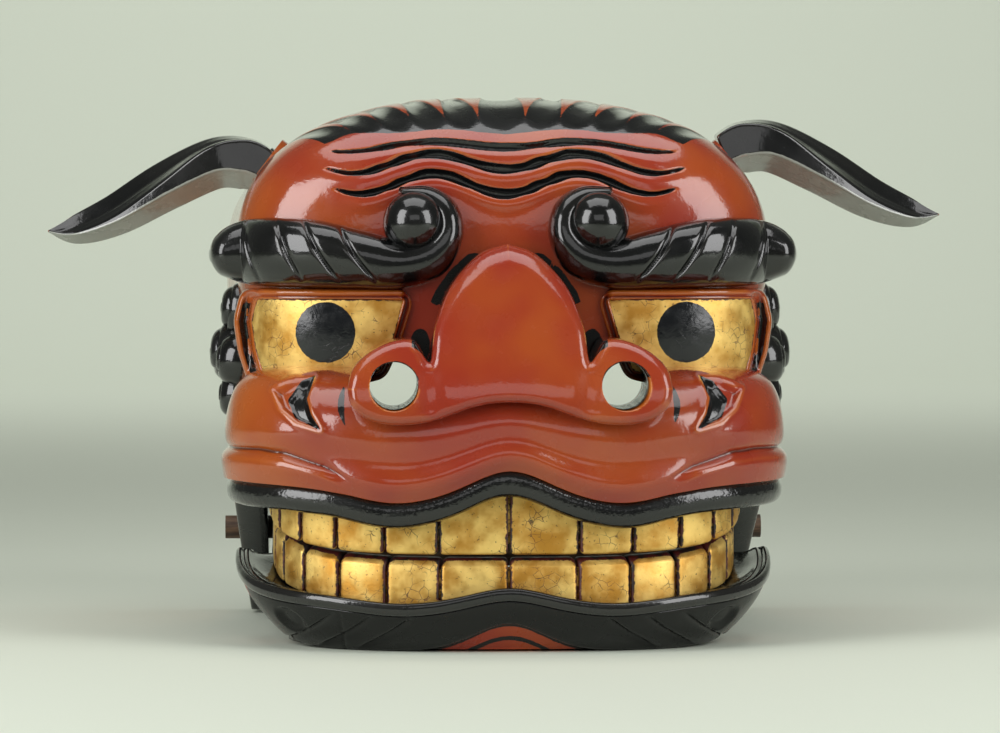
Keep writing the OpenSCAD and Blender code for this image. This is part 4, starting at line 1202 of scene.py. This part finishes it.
def build_eye_frame(side):
    """Carved lids: a red roll round the gold, a groove, and on the outer side a black band and a second
    roll; the inner side keeps only the first roll, and the upper lid is a half-round moulding."""
    edge = even(EYE_OUTLINE, 320, True)
    smooth = edge.copy()
    for _ in range(3):
        smooth = (np.roll(smooth, 1, 0) + smooth + np.roll(smooth, -1, 0)) / 3
    along = np.roll(smooth, -1, 0) - np.roll(smooth, 1, 0)
    across = np.stack([along[:, 1], -along[:, 0]], -1)
    across /= np.linalg.norm(across, axis=1, keepdims=True)
    across *= np.sign((across * (smooth - [EYE_X, EYE_Z])).sum(1, keepdims=True))
    for _ in range(6):
        across = (np.roll(across, 1, 0) + across + np.roll(across, -1, 0)) / 3
    outward = step(0.2, 0.8, across[:, 0]) * step(100, 120, smooth[:, 0])
    above = step(0.6, 0.95, across[:, 1])
    width = 0.42 + 0.43 * outward + 0.1 * above
    rings = []
    for d, lift in FRAME_STEPS:
        q = smooth + across * (d * np.where(d > 0, width, 1))[:, None]
        inner_lift = lift if d < 2 or d > 11.5 else lerp(lift, 1.0, 0.7)
        moulding = 4.5 * math.sin(math.pi * max(d, 0) / 11.6) if d < 11.5 else 0
        lift = lerp(inner_lift, lift, outward) + above * moulding
        rings.append(np.stack([q[:, 0], face_at(q[:, 0], q[:, 1]) - lift, q[:, 1]], -1))
    lid = build_mesh("eye_frame_form_" + SIDE_NAME[side], [(np.array(rings) * [side, 1, 1], True, True)])

    def ink_and_painted_light(x, y, z):
        d = -inside_distance(np.abs(x), z, EYE_OUTLINE)
        band = np.minimum(d - 2.8, 6.6 - d)
        return np.where((np.abs(x) > 122) & (z < 178), band, -5)
    return finish_piece(lid, "head", ["eye_frame_" + SIDE_NAME[side]], finish("red"), ink_and_painted_light)


# ---- side curls ----

# Each curl as (y, z, radius, thickness, where its scroll starts)
CURL_LOBES = [(3, 173, 15, 10, 0.4), (10, 150, 18, 15, 2.0), (-4, 146, 15, 12, 3.6), (4, 127, 14.5, 11, 5.0),
              (22, 166, 12, 9, 1.2)]


def build_side_curl(side):
    """Overlapping black curls behind the eye: each a domed disc with a scroll gouged in two turns."""
    patches = []
    for y0, z0, radius, thick, phase in CURL_LOBES:
        aa, rr = np.meshgrid(np.linspace(0, 2 * np.pi, 120, endpoint=False), np.linspace(0, 1, 40),
                             indexing="ij")
        wind = (aa + phase) / (2 * np.pi) + 1.9 * rr
        saw = wind % 1.0
        cut = -2.3 * np.exp(-np.minimum(saw, 1 - saw) / 0.09) * step(0.05, 0.25, rr) * step(1.0, 0.86, rr)
        y = y0 + radius * rr * np.cos(aa)
        z = z0 + radius * rr * np.sin(aa)
        x = 138.5 + thick * np.sqrt(np.maximum(1 - rr ** 2.6, 0)) * 1.2 + cut
        back = [(1.0, 132.0), (0.5, 131.5), (0.0, 131.5)]
        x = np.concatenate([x] + [np.full((120, 1), b) for _, b in back], 1)
        y = np.concatenate([y] + [y0 + radius * r * np.cos(aa[:, :1]) for r, _ in back], 1)
        z = np.concatenate([z] + [z0 + radius * r * np.sin(aa[:, :1]) for r, _ in back], 1)
        patches.append((np.stack([x, y, z], -1) * [side, 1, 1], True, False))
    curl = build_mesh("side_curl_form_" + SIDE_NAME[side], patches)
    return finish_piece(curl, "head", ["side_curl_" + SIDE_NAME[side]], finish("black"))


# ---- ears ----

# Line of an ear from root to tip: (x, y, z, half height)
EAR_SPINE = [(127, 30, 252, 12), (138, 31, 256.5, 14), (155, 33, 256.5, 14), (181, 35, 244.5, 13.5),
             (208, 36, 229, 11.5), (230, 36, 220.5, 8), (244, 35, 219.5, 0.8)]
# Corners of an ear's section as shares of its half depth and half height; the ridge moves along the ear
EAR_RIDGE = [(-0.5, 0.94), (-0.5, 0.9), (-0.55, 0.62), (-0.6, 0.15), (-0.62, -0.12), (-0.64, -0.24),
             (-0.66, -0.3)]
EAR_SEAM, EAR_KEEL, EAR_BACK, EAR_TOP = (-0.7, -0.36), (0.85, -1.05), (1.0, -0.2), (0.75, 1.0)
EAR_DEPTH = [15, 17, 18, 17, 14, 9, 1.2]
EAR_NEAR = 4.0
TENON_R, TENON_IN, TENON_OUT = 6.95, -26, 13


def build_ear(side):
    """Black ear: a section of upper slope, dark front and underside, swept along a line that rises
    from the tenon, droops and narrows to a worn tip. The underside is painted pale grey as a painted
    reflection of the floor. The ridge between slope and front sinks from the top at the root to the seam at
    the tip. The left ear sits a little higher than the right."""
    hang = sizes().ear_hang / MM
    k = np.linspace(0, 1, 220)
    spine = through(EAR_SPINE, k)
    deep = through(np.array(EAR_DEPTH)[:, None], k)[:, 0]
    ridge = through(EAR_RIDGE, k)
    along = np.gradient(spine[:, :3], axis=0)
    length = np.hypot(along[:, 0], along[:, 2])
    up = np.stack([-along[:, 2] / length, along[:, 0] / length], -1)
    corner = [np.broadcast_to(c, ridge.shape) for c in (EAR_TOP, EAR_SEAM, EAR_KEEL, EAR_BACK)]
    corner.insert(1, ridge)
    sides = [lerp(a[:, None], b[:, None], np.linspace(0, 1, 20, endpoint=False)[None, :, None])
             for a, b in zip(corner, corner[1:] + corner[:1])]
    ring = np.concatenate(sides, 1)
    for _ in range(2):
        ring = (np.roll(ring, 1, 1) + 2 * ring + np.roll(ring, -1, 1)) / 4
    across, level = ring[..., 0], ring[..., 1]
    dish = np.zeros(ring.shape[:2])
    dish[:, 1:19] = np.sin(np.linspace(0, np.pi, 18)) * 1.2 + 0.8 * bump(np.linspace(-1, 1, 18), 0, 0.2)
    level = level - dish / spine[:, 3:4] * step(0.05, 0.4, k)[:, None] * step(1, 0.9, k)[:, None]
    x = spine[:, :1] + up[:, :1] * spine[:, 3:4] * level - (side + 1) / 2 * EAR_NEAR
    z = spine[:, 2:3] + up[:, 1:] * spine[:, 3:4] * level + side * hang
    y = spine[:, 1:2] + deep[:, None] * across
    p = np.stack([x, y, z], -1)
    tenon_low, tenon_high = box_mm("ear_tenon_" + SIDE_NAME[side])
    axis = ear_axis(side)[1]
    turn = ring_angles(48)[:, None]
    around = TENON_R * (np.cos(turn) * [0, 1, 0] + np.sin(turn) * np.cross(axis, [0, 1, 0]))
    tenon = [(tenon_low + tenon_high) / 2 + reach * axis + size * around
             for reach, size in ((TENON_IN, 0), (TENON_IN, 1), (TENON_OUT, 1), (TENON_OUT, 0))]
    ear = build_mesh("ear_form_" + SIDE_NAME[side], [(close_ends(p, 0.8) * [side, 1, 1], False, True),
                                                     (np.array(tenon), False, True)])

    def ink_and_painted_light(x, y, z):
        x = np.abs(x) + (side + 1) / 2 * EAR_NEAR
        near = np.argmin((x[:, None] - spine[None, :, 0]) ** 2
                         + (z[:, None] - side * hang - spine[None, :, 2]) ** 2, axis=1)
        height = ((x - spine[near, 0]) * up[near, 0] + (z - side * hang - spine[near, 2]) * up[near, 1])
        place = (y - spine[near, 1]) / deep[near]
        seam = EAR_SEAM[1] + (place - EAR_SEAM[0]) * (EAR_KEEL[1] - EAR_SEAM[1]) / (EAR_KEEL[0] - EAR_SEAM[0])
        # Painted reflection: the pale grey underside below the seam stands in for the floor's reflection.
        painted_reflection = (seam + 0.06 - height / spine[near, 3]) * spine[near, 3]
        return np.where(painted_reflection > -1.5, np.minimum(painted_reflection + 0.5, (0.8 - place) * 10), -5)
    nodes = ["ear_" + SIDE_NAME[side], "ear_tenon_" + SIDE_NAME[side]]
    return finish_piece(ear, SIDE_NAME[side] + "_ear", nodes, finish("ear"), ink_and_painted_light, smooth=1)


# ---- kept CAD parts ----

KEPT_FINISHES = {
    "jaw_floor": "black", "jaw_arm": "black", "pivot_rod": "wood", "head_grip": "wood",
    "jaw_grip": "wood", "ear_boss": "red", "ear_peg": "black",
}


def dress_kept_parts():
    """Puts the real finishes on the CAD parts whose shapes stay."""
    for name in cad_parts:
        node = bpy.data.objects[name]
        for start, look in KEPT_FINISHES.items():
            if name.startswith(start):
                node.data.materials.clear()
                node.data.materials.append(finish(look))


# ---- stage ----

def build_stage():
    """Pale paper floor that turns up through a quarter circle into a backdrop, five soft lamps and the
    camera. The backdrop stands far enough back for views from behind the head."""
    bend = np.linspace(0, np.pi / 2, 40)[1:]
    y = np.concatenate([np.linspace(-5000, 3600, 30), 3600 + 1400 * np.sin(bend), np.full(6, 5000.0)])
    z = np.concatenate([np.zeros(30), 1400 - 1400 * np.cos(bend), np.linspace(1500, 4000, 6)])
    xx, yy = np.meshgrid(np.linspace(-5000, 5000, 40), y, indexing="ij")
    sweep = build_mesh("backdrop", [(np.stack([xx, yy, np.broadcast_to(z, xx.shape)], -1), False, False)])
    sweep.data.materials.append(backdrop_paper("studio_paper"))
    middle = Vector((0, 0.014, 0.142))
    for name, place, aim, size, watts in (
        ("softbox_left", (-1.25, -0.95, 0.8), middle, (0.8, 1.4), 22),
        ("softbox_right", (1.25, -0.95, 0.8), middle, (0.8, 1.4), 19),
        ("softbox_top", (0.0, -0.1, 1.9), middle, (1.8, 1.2), 16),
        ("backdrop_wash", (0.0, 3.0, 2.6), Vector((0, 5.0, 0.8)), (4.0, 2.4), 74),
        ("front_fill", (0.0, -2.4, 1.1), middle, (1.6, 0.8), 4),
    ):
        lamp = bpy.data.lights.new(name, "AREA")
        lamp.shape = "RECTANGLE"
        lamp.size, lamp.size_y = size
        lamp.energy = watts
        obj = bpy.data.objects.new(name, lamp)
        bpy.context.scene.collection.objects.link(obj)
        obj.location = place
        obj.rotation_euler = (aim - Vector(place)).to_track_quat("-Z", "Y").to_euler()
    world = bpy.data.worlds.new("studio")
    bpy.context.scene.world = world
    world.use_nodes = True
    world.node_tree.nodes["Background"].inputs["Color"].default_value = linear("#e8ece2")
    world.node_tree.nodes["Background"].inputs["Strength"].default_value = 0.12
    lens = bpy.data.cameras.new("camera")
    lens.sensor_width = 36
    lens.lens = 166.5
    lens.clip_end = 20
    camera = bpy.data.objects.new("camera", lens)
    bpy.context.scene.collection.objects.link(camera)
    turn, lift = math.radians(-2), math.radians(2)
    back = Vector((math.sin(turn) * math.cos(lift), -math.cos(turn) * math.cos(lift), math.sin(lift)))
    camera.location = middle + 2.5 * back
    camera.rotation_euler = back.to_track_quat("Z", "Y").to_euler()
    bpy.context.scene.camera = camera
    bpy.context.scene.view_settings.view_transform = "Standard"


# ---- settings ----

def sizes():
    """The sizes shown in the sidebar."""
    return bpy.context.scene.lion_head_sizes


def colours():
    """The colours shown in the sidebar."""
    return bpy.context.scene.lion_head_colours


def length(name, description, default):
    """A length property in metres, shown in the scene's unit."""
    return bpy.props.FloatProperty(name=name, description=description, default=default, min=0.0,
                                   unit="LENGTH", precision=4)


def colour(name, description, default):
    """A colour property whose default is an sRGB hex value."""
    return bpy.props.FloatVectorProperty(name=name, description=description, default=linear(default), size=4,
                                         min=0.0, max=1.0, subtype="COLOR")


class LionHeadSizes(bpy.types.PropertyGroup):
    """Sizes of the carving that don't come from the frame."""
    wrinkle_depth: length("Wrinkle Depth", "Depth of the grooves in the forehead", 0.0032)
    lock_depth: length("Hair Lock Depth", "Depth of each gouged lock of hair", 0.0022)
    ball_radius: length("Brow Ball Radius", "Radius of the ball that each brow curls round", 0.0162)
    pupil_radius: length("Pupil Radius", "Radius of the painted pupils", 0.0155)
    ear_hang: length("Ear Hang", "How far the left ear sits above its middle height, and the right ear below",
                     0.0045)


class LionHeadColours(bpy.types.PropertyGroup):
    """Colours of the lacquers, the leaf, the wood and the studio paper."""
    red: colour("Vermilion", "Body of the red lacquer", "#8c2c19")
    # Towards the head's right side (-X) the red also turns to this colour.
    red_thin: colour("Thin Vermilion", "Red lacquer where it is thin, on edges and on the right side",
                     "#ad5c1c")
    # Painted shade: the red darkens to this in cuts and grooves.
    red_painted_shade: colour("Deep Vermilion", "Red lacquer where it pools in cuts", "#3c0f0a")
    black: colour("Black", "Body of the black lacquer", "#090a0b")
    gold_bright: colour("Bright Gold", "Gold leaf where it lies flat", "#f2cf79")
    gold_dark: colour("Dark Gold", "Gold leaf where it is rubbed", "#c08a34")
    wood: colour("Handled Wood", "Light grain of the bare wooden bars", "#66523c")
    paper: colour("Studio Paper", "Floor and backdrop", "#c9d0c0")


# ---- operators ----

class LIONHEAD_OT_stage(bpy.types.Operator):
    """Adds the paper sweep, the softboxes and the camera."""
    bl_idname = "lion_head.stage"
    bl_label = "Stage"

    def execute(self, context):
        build_stage()
        return {"FINISHED"}


class LIONHEAD_OT_head_shell(bpy.types.Operator):
    """Adds the domed head with its wrinkles and gouged hair."""
    bl_idname = "lion_head.head_shell"
    bl_label = "Head Shell"

    def execute(self, context):
        build_head_shell()
        return {"FINISHED"}


class LIONHEAD_OT_cheeks(bpy.types.Operator):
    """Adds the two side boards that carry the pivot rod."""
    bl_idname = "lion_head.cheeks"
    bl_label = "Cheeks"

    def execute(self, context):
        for side in SIDE_NAME:
            build_cheek(side)
        return {"FINISHED"}


class LIONHEAD_OT_nose(bpy.types.Operator):
    """Adds the broad nose with its two drilled nostrils."""
    bl_idname = "lion_head.nose"
    bl_label = "Nose"

    def execute(self, context):
        build_nose()
        return {"FINISHED"}


class LIONHEAD_OT_muzzle(bpy.types.Operator):
    """Adds the puffed muzzle with its two leaf-shaped slots."""
    bl_idname = "lion_head.muzzle"
    bl_label = "Muzzle"

    def execute(self, context):
        build_muzzle()
        return {"FINISHED"}


class LIONHEAD_OT_lips(bpy.types.Operator):
    """Adds the black band of the upper lip and the rim of the jaw."""
    bl_idname = "lion_head.lips"
    bl_label = "Lips"

    def execute(self, context):
        build_upper_lip()
        build_jaw_rim()
        return {"FINISHED"}


class LIONHEAD_OT_teeth(bpy.types.Operator):
    """Adds the upper and lower rows of gilded teeth."""
    bl_idname = "lion_head.teeth"
    bl_label = "Teeth"

    def execute(self, context):
        build_upper_teeth()
        build_lower_teeth()
        return {"FINISHED"}


class LIONHEAD_OT_chin(bpy.types.Operator):
    """Adds the carved chin with its red arch."""
    bl_idname = "lion_head.chin"
    bl_label = "Chin"

    def execute(self, context):
        build_chin()
        return {"FINISHED"}


class LIONHEAD_OT_brows(bpy.types.Operator):
    """Adds the two black brows that curl round a ball."""
    bl_idname = "lion_head.brows"
    bl_label = "Brows"

    def execute(self, context):
        for side in SIDE_NAME:
            build_brow(side)
        return {"FINISHED"}


class LIONHEAD_OT_eyes(bpy.types.Operator):
    """Adds the two gilded eye panels with their painted pupils."""
    bl_idname = "lion_head.eyes"
    bl_label = "Eyes"

    def execute(self, context):
        for side in SIDE_NAME:
            build_eye(side)
        return {"FINISHED"}


class LIONHEAD_OT_eye_frames(bpy.types.Operator):
    """Adds the carved lids round the eye panels."""
    bl_idname = "lion_head.eye_frames"
    bl_label = "Eye Frames"

    def execute(self, context):
        for side in SIDE_NAME:
            build_eye_frame(side)
        return {"FINISHED"}


class LIONHEAD_OT_side_curls(bpy.types.Operator):
    """Adds the two groups of black curls behind the eyes."""
    bl_idname = "lion_head.side_curls"
    bl_label = "Side Curls"

    def execute(self, context):
        for side in SIDE_NAME:
            build_side_curl(side)
        return {"FINISHED"}


class LIONHEAD_OT_ears(bpy.types.Operator):
    """Adds the two black ears with the tenons they turn on."""
    bl_idname = "lion_head.ears"
    bl_label = "Ears"

    def execute(self, context):
        for side in SIDE_NAME:
            build_ear(side)
        return {"FINISHED"}


class LIONHEAD_OT_kept_parts(bpy.types.Operator):
    """Gives the parts of the frame that stay as they are their finishes."""
    bl_idname = "lion_head.kept_parts"
    bl_label = "Frame Parts"

    def execute(self, context):
        dress_kept_parts()
        return {"FINISHED"}


PIECES = ("stage", "head_shell", "cheeks", "nose", "muzzle", "lips", "teeth", "chin", "brows", "eyes",
          "eye_frames", "side_curls", "ears", "kept_parts")


class LIONHEAD_PT_pieces(bpy.types.Panel):
    """Lists the settings and one button for each piece."""
    bl_idname = "LIONHEAD_PT_pieces"
    bl_label = "Lion Head"
    bl_space_type = "VIEW_3D"
    bl_region_type = "UI"
    bl_category = "Lion Head"

    def draw(self, context):
        for group in (context.scene.lion_head_sizes, context.scene.lion_head_colours):
            column = self.layout.column(align=True)
            for setting in group.__annotations__:
                column.prop(group, setting)
        for piece in PIECES:
            self.layout.operator("lion_head." + piece)


CLASSES = (
    LionHeadSizes, LionHeadColours, LIONHEAD_OT_stage, LIONHEAD_OT_head_shell, LIONHEAD_OT_cheeks,
    LIONHEAD_OT_nose, LIONHEAD_OT_muzzle, LIONHEAD_OT_lips, LIONHEAD_OT_teeth, LIONHEAD_OT_chin,
    LIONHEAD_OT_brows, LIONHEAD_OT_eyes, LIONHEAD_OT_eye_frames, LIONHEAD_OT_side_curls, LIONHEAD_OT_ears,
    LIONHEAD_OT_kept_parts, LIONHEAD_PT_pieces,
)


def register():
    """Registers the classes and hangs both groups of settings on the scene."""
    for item in CLASSES:
        bpy.utils.register_class(item)
    bpy.types.Scene.lion_head_sizes = bpy.props.PointerProperty(type=LionHeadSizes)
    bpy.types.Scene.lion_head_colours = bpy.props.PointerProperty(type=LionHeadColours)


def unregister():
    """Takes the settings and the classes away again."""
    del bpy.types.Scene.lion_head_colours
    del bpy.types.Scene.lion_head_sizes
    for item in reversed(CLASSES):
        bpy.utils.unregister_class(item)


def main():
    """Builds every piece in order."""
    register()
    for piece in PIECES:
        getattr(bpy.ops.lion_head, piece)()


if __name__ == "__main__":
    main()
